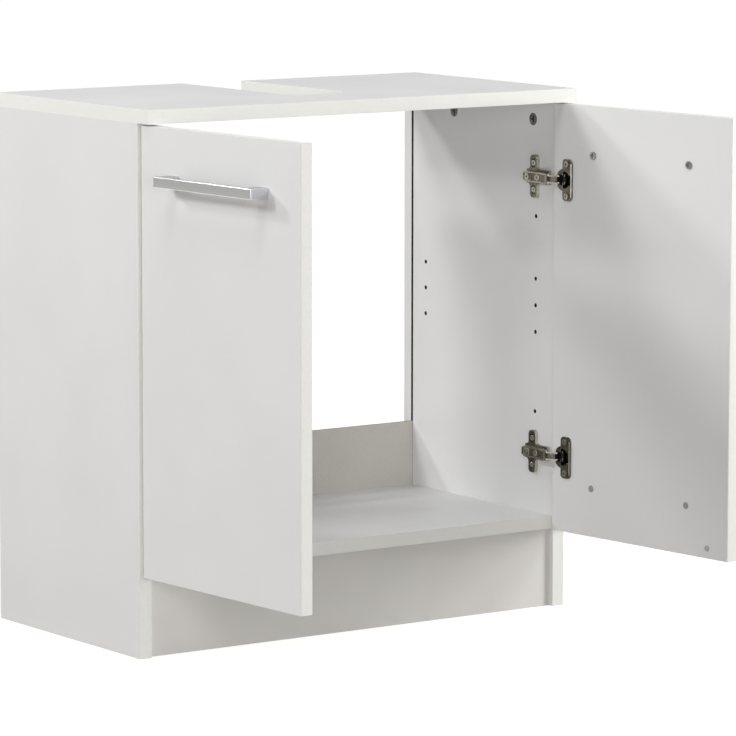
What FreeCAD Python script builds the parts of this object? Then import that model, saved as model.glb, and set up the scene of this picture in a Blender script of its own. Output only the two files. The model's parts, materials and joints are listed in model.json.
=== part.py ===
import FreeCAD, Part
import math
import os
import re

import Sketcher
from FreeCAD import Placement, Rotation, Vector

# A washbasin base cabinet: a white board carcass on a plinth, open at the back, with a U-shaped drain notch
# in the top and two full-overlay doors on cup hinges, both standing open.
# Frame: +X to the right, +Y to the back, +Z up. The origin is the middle of the plinth's foot, on the floor.
# Every size is in millimetres. The doors are laid out shut and then swung by their hinges' own linkage.

DIMENSIONS = {
    # carcass boards
    "cabinet_width": 600,
    "side_height": 606,
    "side_depth": 308,
    "board_thickness": 16,
    "top_overhang": 21,
    "plinth_height": 94,
    "plinth_thickness": 16,
    "plinth_setback": 6,
    "bottom_setback": 2,
    # drain notch, cut in from the back edge of the top
    "notch_width": 84,
    "notch_depth": 230,
    "notch_corner": 22,
    # back rail and the grooves it stands in
    "rail_height": 80,
    "rail_thickness": 3,
    "groove_width": 4,
    "groove_depth": 6,
    "groove_inset": 15,
    "rail_end_gap": 0.5,
    # holes drilled on a fixed pitch into the inner faces of the sides
    "hole_pitch": 32,
    "hole_diameter": 5,
    "hole_depth": 11,
    "front_hole_line": 37,
    "rear_hole_line": 46,
    "shelf_hole_rise": 144,
    "spare_hole_rise": 48,
    "shelf_hole_rows": 3,
    # cam joints and dowels
    "cam_diameter": 15,
    "cam_depth": 12.5,
    "cam_drop": 24,
    "front_cam_line": 44,
    "rear_cam_line": 104,
    "cam_bolt_diameter": 6,
    "cam_slot_length": 9.3,
    "cam_slot_width": 1.9,
    "cam_slot_depth": 2.1,
    "cam_bolt_head_diameter": 7,
    "cam_bolt_head_height": 3.5,
    "cam_bolt_head_drop": 3,
    "cam_bolt_neck_diameter": 4.2,
    "cam_bolt_grip": 11,
    "dowel_diameter": 8,
    "dowel_length": 30,
    "dowel_in_face": 10,
    "dowel_edge_line": 50,
    "plinth_dowel_spacing": 300,
    # doors
    "door_thickness": 16,
    "door_edge_round": 1.2,
    "side_reveal": 1.5,
    "door_gap": 3,
    "door_top_gap": 2,
    "closing_gap": 2.5,
    "left_door_angle": 87.5,
    "right_door_angle": 95.5,
    "largest_door_angle": 96,
    # the crossed slots in the heads of all screws
    "cross_width": 1.1,
    "cross_depth": 1.2,
    # handles, their screws, and the plugs in the unused holes
    "handle_length": 182,
    "handle_projection": 24.5,
    "handle_height": 12,
    "handle_bar_thickness": 6,
    "handle_leg_width": 16,
    "handle_edge_round": 2,
    "handle_hole_spacing": 160,
    "handle_from_door_end": 57.5,
    "handle_screw_diameter": 4,
    "handle_screw_bite": 12,
    "handle_screw_head_diameter": 9,
    "handle_screw_head_height": 2.2,
    "handle_screw_cross": 5.4,
    "plug_diameter": 5,
    "plug_cap_diameter": 8,
    "plug_cap_height": 1,
    "plug_depth": 8,
    "bumper_diameter": 7,
    "bumper_height": 1.5,
    "bumper_inset": 33,
    "bumper_rise": 12,
    # hinges: cup
    "hinge_from_door_end": 89.5,
    "cup_diameter": 26,
    "cup_depth": 12,
    "cup_wall": 0.6,
    "cup_lip": 0.3,
    "cup_edge_distance": 5.6,
    "cup_slot_half_height": 6.3,
    "flange_thickness": 1.2,
    "flange_width": 17,
    "flange_near_edge": -2.4,
    "cup_mouth_diameter": 20.6,
    "flange_length": 50,
    "flange_corner": 5,
    "flange_rim": 1.6,
    "flange_rim_height": 1.4,
    "cup_screw_spacing": 38,
    "cup_screw_offset": 5,
    "cup_screw_diameter": 3.5,
    "cup_screw_length": 12,
    "cup_screw_head_diameter": 7,
    "cup_screw_head_height": 1.6,
    "cup_screw_cross": 4.2,
    # hinges: pins, measured from the middle of the cup's mouth with the door shut
    "outer_arm_pin_across": 7.5,
    "outer_arm_pin_back": 1.0,
    "inner_arm_pin_across": 7.5,
    "inner_arm_pin_back": 5.8,
    "outer_cup_pin_across": -8.6,
    "outer_cup_pin_back": -5.0,
    "inner_cup_pin_across": -8.6,
    "inner_cup_pin_back": -8.0,
    "pin_diameter": 1.8,
    "cup_pin_reach": 7.7,
    "outer_link_turn": 0.226,
    "inner_link_turn": 0.049,
    # hinges: link plates, cranked to pass over the rim of the cup
    "link_eye_radius": 1.8,
    "slotted_eye_wall": 0.7,
    "inner_link_width": 2.4,
    "outer_link_width": 3,
    "outer_link_crank_along": 0.26,
    "outer_link_crank_aside": 4.5,
    "inner_link_crank_along": 0.31,
    "inner_link_crank_aside": 6.6,
    "inner_link_half_height": 3.0,
    "outer_link_inside": 3.3,
    "outer_link_plate": 1.5,
    "link_slot_play": 0.07,
    "link_web_clearance": 0.4,
    # hinges: arm
    "arm_half_height": 6.2,
    "arm_wall": 1.2,
    "arm_nose_radius": 2.3,
    "arm_rear_line": 45,
    "arm_step_rear_line": 13,
    "arm_step_front_line": 8,
    "arm_web_setback": 0.7,
    "arm_fork_width": 5.4,
    "arm_fork_depth": 9,
    # hinges: mounting plate and screws
    "plate_wing_width": 13,
    "plate_wing_length": 51,
    "plate_wing_thickness": 4.5,
    "plate_wing_corner": 5,
    "plate_rail_front_line": 7,
    "plate_rail_rear_line": 50,
    "plate_rail_half_height": 4.6,
    "plate_rail_thickness": 10,
    "plate_foot_half_height": 8.5,
    "plate_screw_spacing": 32,
    "plate_screw_diameter": 4,
    "plate_screw_length": 13,
    "plate_screw_head_diameter": 7,
    "plate_screw_head_height": 2,
    "plate_screw_cross": 4.5,
    "plate_slot_travel": 4,
    "fixing_screw_diameter": 4,
    "fixing_screw_head_diameter": 7.6,
    "fixing_screw_head_height": 2.2,
    "fixing_screw_cross": 4.6,
    "fixing_screw_line": 38.5,
    "fixing_screw_bite": 8,
    "adjusting_screw_line": 22,
    "adjusting_screw_diameter": 4.5,
    "adjusting_screw_length": 7,
    "adjusting_screw_sink": 0.3,
    "adjusting_screw_cross": 3.2,
    "fit_gap": 0.1,
    "running_gap": 0.05,
}

SHEET = "Dimensions"
OVERSHOOT = 1.0  # how far a cutting tool passes its face
OPEN_PAST = 5.0  # how far the hollow of a channel runs past its open sides
PATH_STEPS = 48  # openings at which the travel of a pin in its slot is worked out

doc = FreeCAD.newDocument("BasinCabinet")
sheet = doc.addObject("Spreadsheet::Sheet", SHEET)
for row, (alias, number) in enumerate(DIMENSIONS.items(), start=1):
    sheet.set(f"A{row}", alias)
    sheet.set(f"B{row}", str(number))
    sheet.setAlias(f"B{row}", alias)
doc.recompute()

finished = []  # the sub-parts to write, in order


def value(expression):
    """The number that an expression of aliases comes to."""
    names = {alias: float(sheet.get(alias)) for alias in DIMENSIONS}
    number = expression
    for alias in sorted(names, key=len, reverse=True):
        number = re.sub(rf"\b{alias}\b", repr(names[alias]), number)
    return float(FreeCAD.Units.Quantity(f"({number})").Value)


def linked(expression):
    """The expression with each alias written as a cell of the sheet."""

    def cell(word):
        """The cell's name for an alias, and any other word as it is."""
        name = word.group()
        return f"{SHEET}.{name}" if name in DIMENSIONS else name

    return re.sub(r"\b[a-z_]+\b", cell, expression)


def bind(item, **expressions):
    """Bind properties to expressions; x, y and z are the place of the item."""
    for name, expression in expressions.items():
        path = f".Placement.Base.{name}" if name in ("x", "y", "z") else name
        item.setExpression(path, linked(str(expression)))
    return item


def block(size, corner):
    """A box of three expressions, from its lowest corner."""
    item = doc.addObject("Part::Box", "Block")
    return bind(item, Length=size[0], Width=size[1], Height=size[2], x=corner[0], y=corner[1], z=corner[2])


ALONG = {
    "x": Rotation(Vector(0, 1, 0), 90),
    "y": Rotation(Vector(1, 0, 0), -90),
    "z": Rotation(),
}


def rod(diameter, length, start, axis):
    """A cylinder that starts at a point and runs along +x, +y or +z."""
    item = doc.addObject("Part::Cylinder", "Rod")
    item.Placement = Placement(Vector(), ALONG[axis])
    return bind(item, Radius=f"({diameter}) / 2", Height=length, x=start[0], y=start[1], z=start[2])


def fuse(items):
    """The items joined to one solid."""
    joined = doc.addObject("Part::MultiFuse", "Fuse")
    joined.Shapes = items
    joined.Refine = True
    return joined


def cut(base, tools):
    """The base less the tools."""
    result = doc.addObject("Part::Cut", "Cut")
    result.Base = base
    result.Tool = tools[0] if len(tools) == 1 else fuse_tools(tools)
    return result


def fuse_tools(tools):
    """Cutting tools gathered into one object."""
    gathered = doc.addObject("Part::MultiFuse", "Tools")
    gathered.Shapes = tools
    return gathered


def common(first, second):
    """What the two items share."""
    result = doc.addObject("Part::Common", "Common")
    result.Base = first
    result.Tool = second
    return result


def group(items):
    """Separate solids kept as one object."""
    result = doc.addObject("Part::Compound", "Group")
    result.Links = items
    return result


def finish(item, label, placement=None):
    """Name a sub-part, put it in its place and list it for writing."""
    item.Label = label
    if placement is not None:
        item.Placement = placement.multiply(item.Placement)
    finished.append(item)
    return item


def profile(label, corners, height, start="0"):
    """A PartDesign body: a closed outline of corner expressions in the XY plane, padded along +Z."""
    body = doc.addObject("PartDesign::Body", label)
    plane = next(f for f in body.Origin.OriginFeatures if f.Role == "XY_Plane")
    sketch = body.newObject("Sketcher::SketchObject", f"{label}Sketch")
    sketch.AttachmentSupport = [(plane, "")]
    sketch.MapMode = "FlatFace"
    sketch.setExpression(".AttachmentOffset.Base.z", linked(start))
    points = [Vector(value(x), value(y), 0) for x, y in corners]
    count = len(points)
    for index, point in enumerate(points):
        sketch.addGeometry(Part.LineSegment(point, points[(index + 1) % count]), False)
    for index in range(count):
        sketch.addConstraint(Sketcher.Constraint("Coincident", index, 2, (index + 1) % count, 1))
    for index, (corner, point) in enumerate(zip(corners, points)):
        for kind, expression, number in zip(("DistanceX", "DistanceY"), corner, (point.x, point.y)):
            place = sketch.addConstraint(Sketcher.Constraint(kind, -1, 1, index, 1, number))
            sketch.setExpression(f"Constraints[{place}]", linked(expression))
    pad = body.newObject("PartDesign::Pad", f"{label}Pad")
    pad.Profile = sketch
    pad.setExpression("Length", linked(height))
    doc.recompute()
    return body


def round_edges(body, places, radius):
    """Round the upright edges of a body that stand at the given points of the XY plane."""
    corners = [Vector(value(x), value(y), 0) for x, y in places]
    names = []
    for index, edge in enumerate(body.Shape.Edges, start=1):
        ends = [v.Point for v in edge.Vertexes]
        upright = len(ends) == 2 and abs(ends[0].x - ends[1].x) + abs(ends[0].y - ends[1].y) < 1e-6
        if upright and any(math.hypot(ends[0].x - c.x, ends[0].y - c.y) < 1e-3 for c in corners):
            names.append(f"Edge{index}")
    padded = body.Tip
    fillet = body.newObject("PartDesign::Fillet", "Round")
    fillet.Base = (padded, names)
    fillet.setExpression("Radius", linked(radius))
    doc.recompute()
    return body


# ---------------------------------------------------------------- lines that the carcass is laid out from

HALF = "cabinet_width / 2"
FRONT = "(0 - plinth_setback - plinth_thickness / 2)"  # front edges of the side panels
REAR = f"({FRONT} + side_depth)"
INNER = f"({HALF} - board_thickness)"  # inner face of the right side, and less than nought of the left
DECK = "(plinth_height + board_thickness)"  # upper face of the bottom board
DOOR_HEIGHT = "(side_height - door_top_gap - plinth_height)"
DOOR_WIDTH = "((cabinet_width - 2 * side_reveal - door_gap) / 2)"
LOWER_HINGE = "(plinth_height + hinge_from_door_end)"
UPPER_HINGE = "(side_height - door_top_gap - hinge_from_door_end)"
DOWEL_LINES = (f"({FRONT} + dowel_edge_line)", f"({REAR} - dowel_edge_line)")
CAM_LINES = (f"({FRONT} + front_cam_line)", f"({REAR} - rear_cam_line)")
TOP_DOWEL_LINE = f"(({CAM_LINES[0]} + {CAM_LINES[1]}) / 2)"
CAM_HEIGHT = "(side_height - cam_drop)"
SIDE_MIDDLE = f"({HALF} - board_thickness / 2)"  # middle of the right side's thickness
DECK_MIDDLE = "(plinth_height + board_thickness / 2)"
DOWEL_BORE = "dowel_diameter + 2 * fit_gap"
DOWEL_FACE_DEPTH = "(dowel_in_face + fit_gap)"  # into the face of a board
DOWEL_END_DEPTH = "(dowel_length - dowel_in_face + fit_gap)"  # into the end of a board


def drilled_holes():
    """The line and row of each hole in the inner face of a side panel."""
    rows = range(int(value("shelf_hole_rows")))
    shelf_rows = [f"({LOWER_HINGE} + shelf_hole_rise + {row} * hole_pitch)" for row in rows]
    hinge_rows = [
        f"({hinge} {way} plate_screw_spacing / 2)" for hinge in (LOWER_HINGE, UPPER_HINGE) for way in "+-"
    ]
    spare_rows = [f"({LOWER_HINGE} + spare_hole_rise)", f"({UPPER_HINGE} - spare_hole_rise)"]
    front_line = f"({FRONT} + front_hole_line)"
    rear_line = f"({REAR} - rear_hole_line)"
    holes = [(front_line, row) for row in hinge_rows + spare_rows + shelf_rows]
    return holes + [(rear_line, row) for row in shelf_rows]


def sides():
    """The two side panels, with grooves, hinge and shelf holes, cam bores and dowel bores."""
    for name, sign in (("left", -1), ("right", 1)):
        outer_corner = INNER if sign > 0 else f"0 - {HALF}"
        board = block(("board_thickness", "side_depth", "side_height"), (outer_corner, FRONT, "0"))

        def into_face(depth):
            """Start and length of a cut that goes a depth into the inner face."""
            start = f"{INNER} - {OVERSHOOT}" if sign > 0 else f"0 - {INNER} - ({depth})"
            return start, f"({depth}) + {OVERSHOOT}"

        start, length = into_face("groove_depth")
        tools = [
            block(
                (length, "groove_width", f"side_height + {2 * OVERSHOOT}"),
                (start, f"{REAR} - groove_inset - groove_width", f"{-OVERSHOOT}"),
            )
        ]
        start, length = into_face("hole_depth")
        tools += [rod("hole_diameter", length, (start, line, row), "x") for line, row in drilled_holes()]
        start, length = into_face("cam_depth")
        tools += [rod("cam_diameter", length, (start, line, CAM_HEIGHT), "x") for line in CAM_LINES]
        bolt_bore = "cam_bolt_head_diameter + 2 * fit_gap"
        middle = f"{sign} * {SIDE_MIDDLE}"
        upward = f"cam_drop + {OVERSHOOT}"
        tools += [rod(bolt_bore, upward, (middle, line, CAM_HEIGHT), "z") for line in CAM_LINES]
        place = (middle, TOP_DOWEL_LINE, f"side_height - {DOWEL_END_DEPTH}")
        tools.append(rod(DOWEL_BORE, f"{DOWEL_END_DEPTH} + {OVERSHOOT}", place, "z"))
        start, length = into_face(DOWEL_FACE_DEPTH)
        tools += [rod(DOWEL_BORE, length, (start, line, DECK_MIDDLE), "x") for line in DOWEL_LINES]
        tools.append(rod(DOWEL_BORE, length, (start, "0", "plinth_height / 2"), "x"))
        finish(cut(board, tools), f"side_panel_{name}")


def top_panel():
    """The top board: a U-shaped notch from the back edge, bored below for the cam bolts and dowels."""
    front = f"{FRONT} - top_overhang"
    notch_front = f"{REAR} - notch_depth"
    right, left = "notch_width / 2", "0 - notch_width / 2"
    corners = [
        (f"0 - {HALF}", front),
        (HALF, front),
        (HALF, REAR),
        (right, REAR),
        (right, notch_front),
        (left, notch_front),
        (left, REAR),
        (f"0 - {HALF}", REAR),
    ]
    board = profile("TopBoard", corners, "board_thickness", "side_height")
    round_edges(board, [(right, notch_front), (left, notch_front)], "notch_corner")
    tools = []
    below = f"side_height - {OVERSHOOT}"
    bolt_depth = f"cam_bolt_grip + fit_gap + {OVERSHOOT}"
    dowel_depth = f"{DOWEL_FACE_DEPTH} + {OVERSHOOT}"
    for sign in (-1, 1):
        middle = f"{sign} * {SIDE_MIDDLE}"
        for line in CAM_LINES:
            tools.append(rod("cam_bolt_diameter + 2 * fit_gap", bolt_depth, (middle, line, below), "z"))
        tools.append(rod(DOWEL_BORE, dowel_depth, (middle, TOP_DOWEL_LINE, below), "z"))
    finish(cut(board, tools), "top_panel")


def edge_bores(line, height):
    """Dowel bores into both end faces of a board that stands between the sides."""
    starts = (f"{INNER} - {DOWEL_END_DEPTH}", f"0 - {INNER} - {OVERSHOOT}")
    length = f"{DOWEL_END_DEPTH} + {OVERSHOOT}"
    return [rod(DOWEL_BORE, length, (start, line, height), "x") for start in starts]


def bottom_and_plinth():
    """The bottom board, and the plinth board that it stands on, dowelled to it and to the sides."""
    width = f"2 * {INNER}"
    board = block(
        (width, "side_depth - bottom_setback", "board_thickness"),
        (f"0 - {INNER}", f"{FRONT} + bottom_setback", "plinth_height"),
    )
    tools = []
    for line in DOWEL_LINES:
        tools += edge_bores(line, DECK_MIDDLE)
    for sign in (-1, 1):
        place = (f"{sign} * plinth_dowel_spacing / 2", "0", f"plinth_height - {OVERSHOOT}")
        tools.append(rod(DOWEL_BORE, f"{DOWEL_FACE_DEPTH} + {OVERSHOOT}", place, "z"))
    finish(cut(board, tools), "bottom_panel")

    corner = (f"0 - {INNER}", "0 - plinth_thickness / 2", "0")
    board = block((width, "plinth_thickness", "plinth_height"), corner)
    tools = edge_bores("0", "plinth_height / 2")
    for sign in (-1, 1):
        place = (f"{sign} * plinth_dowel_spacing / 2", "0", f"plinth_height - {DOWEL_END_DEPTH}")
        tools.append(rod(DOWEL_BORE, f"{DOWEL_END_DEPTH} + {OVERSHOOT}", place, "z"))
    finish(cut(board, tools), "plinth")


def back_rail():
    """The low hardboard strip that stands on the bottom board, with its ends in the grooves."""
    reach = f"({INNER} + groove_depth - rail_end_gap)"
    play = "(groove_width - rail_thickness) / 2"
    rail = block(
        (f"2 * {reach}", "rail_thickness", "rail_height"),
        (f"0 - {reach}", f"{REAR} - groove_inset - groove_width + {play}", DECK),
    )
    finish(rail, "back_rail")


def cam_lock(sign, line):
    """One cam in its bore in a side panel: a drum with a crossed slot, bored for the head of its bolt."""
    start = f"{INNER} + fit_gap" if sign > 0 else f"0 - {INNER} - cam_depth + fit_gap"
    drum = rod("cam_diameter - 2 * fit_gap", "cam_depth - 2 * fit_gap", (start, line, CAM_HEIGHT), "x")
    foot = (f"{sign} * {SIDE_MIDDLE}", line, f"{CAM_HEIGHT} - cam_bolt_head_drop")
    tools = [rod("cam_bolt_head_diameter + 2 * fit_gap", "cam_diameter", foot, "z")]
    sunk = f"{INNER} + fit_gap - {OVERSHOOT}" if sign > 0 else f"0 - {INNER} - fit_gap - cam_slot_depth"
    for wide, tall in (("cam_slot_length", "cam_slot_width"), ("cam_slot_width", "cam_slot_length")):
        corner = (sunk, f"{line} - {wide} / 2", f"{CAM_HEIGHT} - {tall} / 2")
        tools.append(block((f"cam_slot_depth + {OVERSHOOT}", wide, tall), corner))
    return cut(drum, tools)


def cam_bolt(sign, line):
    """One bolt: a thread in the top board, and a neck and head that hang in the cam."""
    foot = f"({CAM_HEIGHT} - cam_bolt_head_drop + fit_gap)"
    middle = f"{sign} * {SIDE_MIDDLE}"
    head = rod("cam_bolt_head_diameter", "cam_bolt_head_height", (middle, line, foot), "z")
    neck = rod("cam_bolt_neck_diameter", f"side_height - {foot}", (middle, line, foot), "z")
    thread = rod("cam_bolt_diameter", "cam_bolt_grip", (middle, line, "side_height"), "z")
    return fuse([head, neck, thread])


def dowel(start, axis):
    """One dowel, from the middle of its lower or left end."""
    return rod("dowel_diameter", "dowel_length", start, axis)


def cams_and_dowels():
    """Cam locks in the sides, their bolts in the top, and the dowels of the carcass."""
    joints = [(sign, line) for sign in (-1, 1) for line in CAM_LINES]
    finish(group([cam_lock(sign, line) for sign, line in joints]), "cam_locks")
    finish(group([cam_bolt(sign, line) for sign, line in joints]), "cam_bolts")
    dowels = []
    in_end = "(dowel_length - dowel_in_face)"
    for sign in (-1, 1):
        dowels.append(dowel((f"{sign} * {SIDE_MIDDLE}", TOP_DOWEL_LINE, f"side_height - {in_end}"), "z"))
        dowels.append(dowel((f"{sign} * plinth_dowel_spacing / 2", "0", f"plinth_height - {in_end}"), "z"))
        start = f"{INNER} - {in_end}" if sign > 0 else f"0 - {INNER} - dowel_in_face"
        dowels += [dowel((start, line, DECK_MIDDLE), "x") for line in DOWEL_LINES]
        dowels.append(dowel((start, "0", "plinth_height / 2"), "x"))
    finish(group(dowels), "dowels")


# ---------------------------------------------------------------- the hinge linkage
# A hinge is laid out in a frame of its own: x from the outer face of the side panel inwards, y from the front
# edge of the side panel to the back, z from the middle of the hinge. It is the same at both sides once it is
# turned over, because it is alike above and below its middle.

CUP_X = "(side_reveal + cup_edge_distance + cup_diameter / 2)"
CUP_Y = "(0 - closing_gap)"


def pin_place(name):
    """Where a pin stands with the door shut."""
    return Vector(value(f"{CUP_X} + {name}_across"), value(f"{CUP_Y} + {name}_back"), 0)


OUTER_ARM_PIN = pin_place("outer_arm_pin")
INNER_ARM_PIN = pin_place("inner_arm_pin")
OUTER_CUP_PIN = pin_place("outer_cup_pin")
INNER_CUP_PIN = pin_place("inner_cup_pin")


def turn(angle, about, shift=Vector()):
    """A turn by an angle about an upright axis, then a shift."""
    rotation = Rotation(Vector(0, 0, 1), angle)
    return Placement(about - rotation.multVec(about) + shift, rotation)


def outer_link_motion(opening):
    """The outer link turns about its pin in the arm, against the door."""
    return turn(value("outer_link_turn") * opening, OUTER_ARM_PIN)


def inner_link_motion(opening):
    """The inner link turns a little about its own pin in the arm."""
    return turn(value("inner_link_turn") * opening, INNER_ARM_PIN)


def door_motion(opening):
    """The door turns about the pin at the end of the outer link, wherever that link has carried it."""
    carried = outer_link_motion(opening).multVec(OUTER_CUP_PIN)
    return turn(-opening, OUTER_CUP_PIN, carried - OUTER_CUP_PIN)


def frame_of(side, height):
    """The frame of a hinge or door: at the left as it is, at the right turned over."""
    across = value(HALF)
    if side == "left":
        return Placement(Vector(-across, value(FRONT), height), Rotation())
    return Placement(Vector(across, value(FRONT), height), Rotation(Vector(0, 1, 0), 180))


def cranked_link(length, along, aside, half_width, eye, low, high):
    """A flat link between two eyes, cranked at one bend, made along +x with its first eye at the origin."""
    bend = Vector(along * length, -aside, 0)
    ends = (Vector(), bend, Vector(length, 0, 0))
    thickness = high - low
    pieces = [Part.makeCylinder(eye, thickness, Vector(0, 0, low))]
    pieces.append(Part.makeCylinder(eye, thickness, Vector(length, 0, low)))
    pieces.append(Part.makeCylinder(half_width, thickness, Vector(bend.x, bend.y, low)))
    for first, second in zip(ends, ends[1:]):
        run = second - first
        bar = Part.makeBox(run.Length, 2 * half_width, thickness, Vector(0, -half_width, low))
        bar.Placement = Placement(first, Rotation(Vector(1, 0, 0), run)).multiply(bar.Placement)
        pieces.append(bar)
    return pieces[0].multiFuse(pieces[1:]).removeSplitter()


def between(pin, far_pin):
    """The place of a link that was made along +x, when it lies between its two pins with the door shut."""
    return Placement(pin, Rotation(Vector(1, 0, 0), far_pin - pin))


def add_shape(name, shape, placement):
    """A Part::Feature that holds a shape made by hand, in its place."""
    item = doc.addObject("Part::Feature", name)
    item.Shape = shape
    item.Label = name
    item.Placement = placement.multiply(item.Placement)
    finished.append(item)
    return item


def outer_link(name, placement):
    """Two cranked plates, one each side of the inner link, from the cup pins to the arm pins."""
    low = value("outer_link_inside")
    high = low + value("outer_link_plate")
    length = (OUTER_ARM_PIN - OUTER_CUP_PIN).Length
    along, aside = value("outer_link_crank_along"), value("outer_link_crank_aside")
    hole = value("pin_diameter / 2 + running_gap")
    plates = []
    for bottom, top in ((low, high), (-high, -low)):
        eye = value("link_eye_radius")
        plate = cranked_link(length, along, aside, value("outer_link_width / 2"), eye, bottom, top)
        for place in (0, length):
            plate = plate.cut(Part.makeCylinder(hole, top - bottom, Vector(place, 0, bottom)))
        plate.Placement = between(OUTER_CUP_PIN, OUTER_ARM_PIN).multiply(plate.Placement)
        plates.append(plate)
    add_shape(name, Part.makeCompound(plates), placement)


def slot_box():
    """The box, in the inner link's own layout, that the middle of the inner cup pin runs in."""
    layout = between(INNER_CUP_PIN, INNER_ARM_PIN)
    path = FreeCAD.BoundBox()
    for step in range(PATH_STEPS + 1):
        opening = value("largest_door_angle") * step / PATH_STEPS
        link = inner_link_motion(opening).multiply(layout)
        path.add(link.inverse().multVec(door_motion(opening).multVec(INNER_CUP_PIN)))
    return path


def slot_shape(path, radius, half_height):
    """A slot with round ends, as long as the path."""
    middle = (path.YMin + path.YMax) / 2
    corner = Vector(path.XMin, middle - radius, -half_height)
    shape = Part.makeBox(path.XLength, 2 * radius, 2 * half_height, corner)
    for across in (path.XMin, path.XMax):
        shape = shape.fuse(Part.makeCylinder(radius, 2 * half_height, Vector(across, middle, -half_height)))
    return shape


def inner_link(name, placement):
    """One thick cranked link. Its eye at the cup is slotted, for the play of the linkage."""
    half_height = value("inner_link_half_height")
    length = (INNER_ARM_PIN - INNER_CUP_PIN).Length
    along, aside = value("inner_link_crank_along"), value("inner_link_crank_aside")
    half_width, eye = value("inner_link_width / 2"), value("link_eye_radius")
    link = cranked_link(length, along, aside, half_width, eye, -half_height, half_height)
    path = slot_box()
    radius = value("pin_diameter / 2 + link_slot_play") + path.YLength / 2
    link = link.fuse(slot_shape(path, radius + value("slotted_eye_wall"), half_height))
    hole = value("pin_diameter / 2 + running_gap")
    link = link.cut(Part.makeCylinder(hole, 2 * half_height, Vector(length, 0, -half_height)))
    link = link.cut(slot_shape(path, radius, half_height)).removeSplitter()
    link.Placement = between(INNER_CUP_PIN, INNER_ARM_PIN).multiply(link.Placement)
    add_shape(name, link, placement)


def rounded_plate(size, corner, radius, axis):
    """A flat plate with four round corners, thick along x or y: two crossed boxes and four rods."""
    wide = 1 if axis == "x" else 0
    thick = 1 - wide
    across, tall = size[wide], size[2]
    inner_across, inner_tall = f"{across} - 2 * {radius}", f"{tall} - 2 * {radius}"

    def box_of(along_wide, along_tall, shift_wide, shift_tall):
        """A box of the plate's thickness, shifted from the plate's corner."""
        lengths = [size[thick], size[thick], along_tall]
        lengths[wide] = along_wide
        place = list(corner)
        place[wide] = f"{corner[wide]} + {shift_wide}"
        place[2] = f"{corner[2]} + {shift_tall}"
        return block(lengths, place)

    pieces = [box_of(across, inner_tall, "0", radius), box_of(inner_across, tall, radius, "0")]
    for shift_wide in (radius, f"{across} - {radius}"):
        for shift_tall in (radius, f"{tall} - {radius}"):
            place = list(corner)
            place[wide] = f"{corner[wide]} + {shift_wide}"
            place[2] = f"{corner[2]} + {shift_tall}"
            pieces.append(rod(f"2 * {radius}", size[thick], place, axis))
    return fuse(pieces)


def cross_recess(face, size, axis):
    """Two crossed slots, sunk from the middle of a face that looks along +x or +y."""
    tools = []
    for across, tall in ((size, "cross_width"), ("cross_width", size)):
        low = f"{face[2]} - {tall} / 2"
        if axis == "x":
            corner = (f"{face[0]} - cross_depth", f"{face[1]} - {across} / 2", low)
            tools.append(block((f"cross_depth + {OVERSHOOT}", across, tall), corner))
        else:
            corner = (f"{face[0]} - {across} / 2", f"{face[1]} - cross_depth", low)
            tools.append(block((across, f"cross_depth + {OVERSHOOT}", tall), corner))
    return tools


def oblong(diameter, travel, length, start):
    """A slot with round ends, cut along +x from its middle: the ends stand a travel apart in height."""
    rises = [f"{start[2]} {way} {travel} / 2" for way in "+-"]
    ends = [rod(diameter, length, (start[0], start[1], rise), "x") for rise in rises]
    corner = (start[0], f"{start[1]} - ({diameter}) / 2", f"{start[2]} - {travel} / 2")
    return ends + [block((length, diameter, travel), corner)]


# ---------------------------------------------------------------- doors and what they carry, laid out shut

DOOR_FACE = "(0 - closing_gap - door_thickness)"  # outer face of the shut door
DOOR_MIDDLE_X = f"(side_reveal + {DOOR_WIDTH} / 2)"
HANDLE_RISE = f"({DOOR_HEIGHT} / 2 - handle_from_door_end)"
HINGE_RISE = f"({DOOR_HEIGHT} / 2 - hinge_from_door_end)"
HOLE_LINES = [f"({DOOR_MIDDLE_X} {side} handle_hole_spacing / 2)" for side in "+-"]


def door(side, up, placement):
    """The door board, bored for two cups, their screws, the handle's screws and two plugs."""
    near, far = "side_reveal", f"side_reveal + {DOOR_WIDTH}"
    corners = [(near, DOOR_FACE), (far, DOOR_FACE), (far, CUP_Y), (near, CUP_Y)]
    board = profile(f"DoorBoard_{side}", corners, DOOR_HEIGHT, f"0 - {DOOR_HEIGHT} / 2")
    round_edges(board, corners, "door_edge_round")
    tools = []
    for rise in (HINGE_RISE, f"0 - {HINGE_RISE}"):
        depth = "(cup_depth + fit_gap)"
        tools.append(rod("cup_diameter", f"{depth} + {OVERSHOOT}", (CUP_X, f"{CUP_Y} - {depth}", rise), "y"))
        depth = "(cup_screw_length + fit_gap)"
        for way in "+-":
            screw_rise = f"{rise} {way} cup_screw_spacing / 2"
            place = (f"{CUP_X} + cup_screw_offset", f"{CUP_Y} - {depth}", screw_rise)
            tools.append(rod("cup_screw_diameter + 2 * fit_gap", f"{depth} + {OVERSHOOT}", place, "y"))
    through = f"door_thickness + {2 * OVERSHOOT}"
    for line in HOLE_LINES:
        place = (line, f"{DOOR_FACE} - {OVERSHOOT}", f"{up} * {HANDLE_RISE}")
        tools.append(rod("handle_screw_diameter + 2 * fit_gap", through, place, "y"))
        depth = "(plug_depth + fit_gap)"
        place = (line, f"{CUP_Y} - {depth}", f"{-up} * {HANDLE_RISE}")
        tools.append(rod("plug_diameter + 2 * fit_gap", f"{depth} + {OVERSHOOT}", place, "y"))
    finish(cut(board, tools), f"door_{side}", placement)


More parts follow.
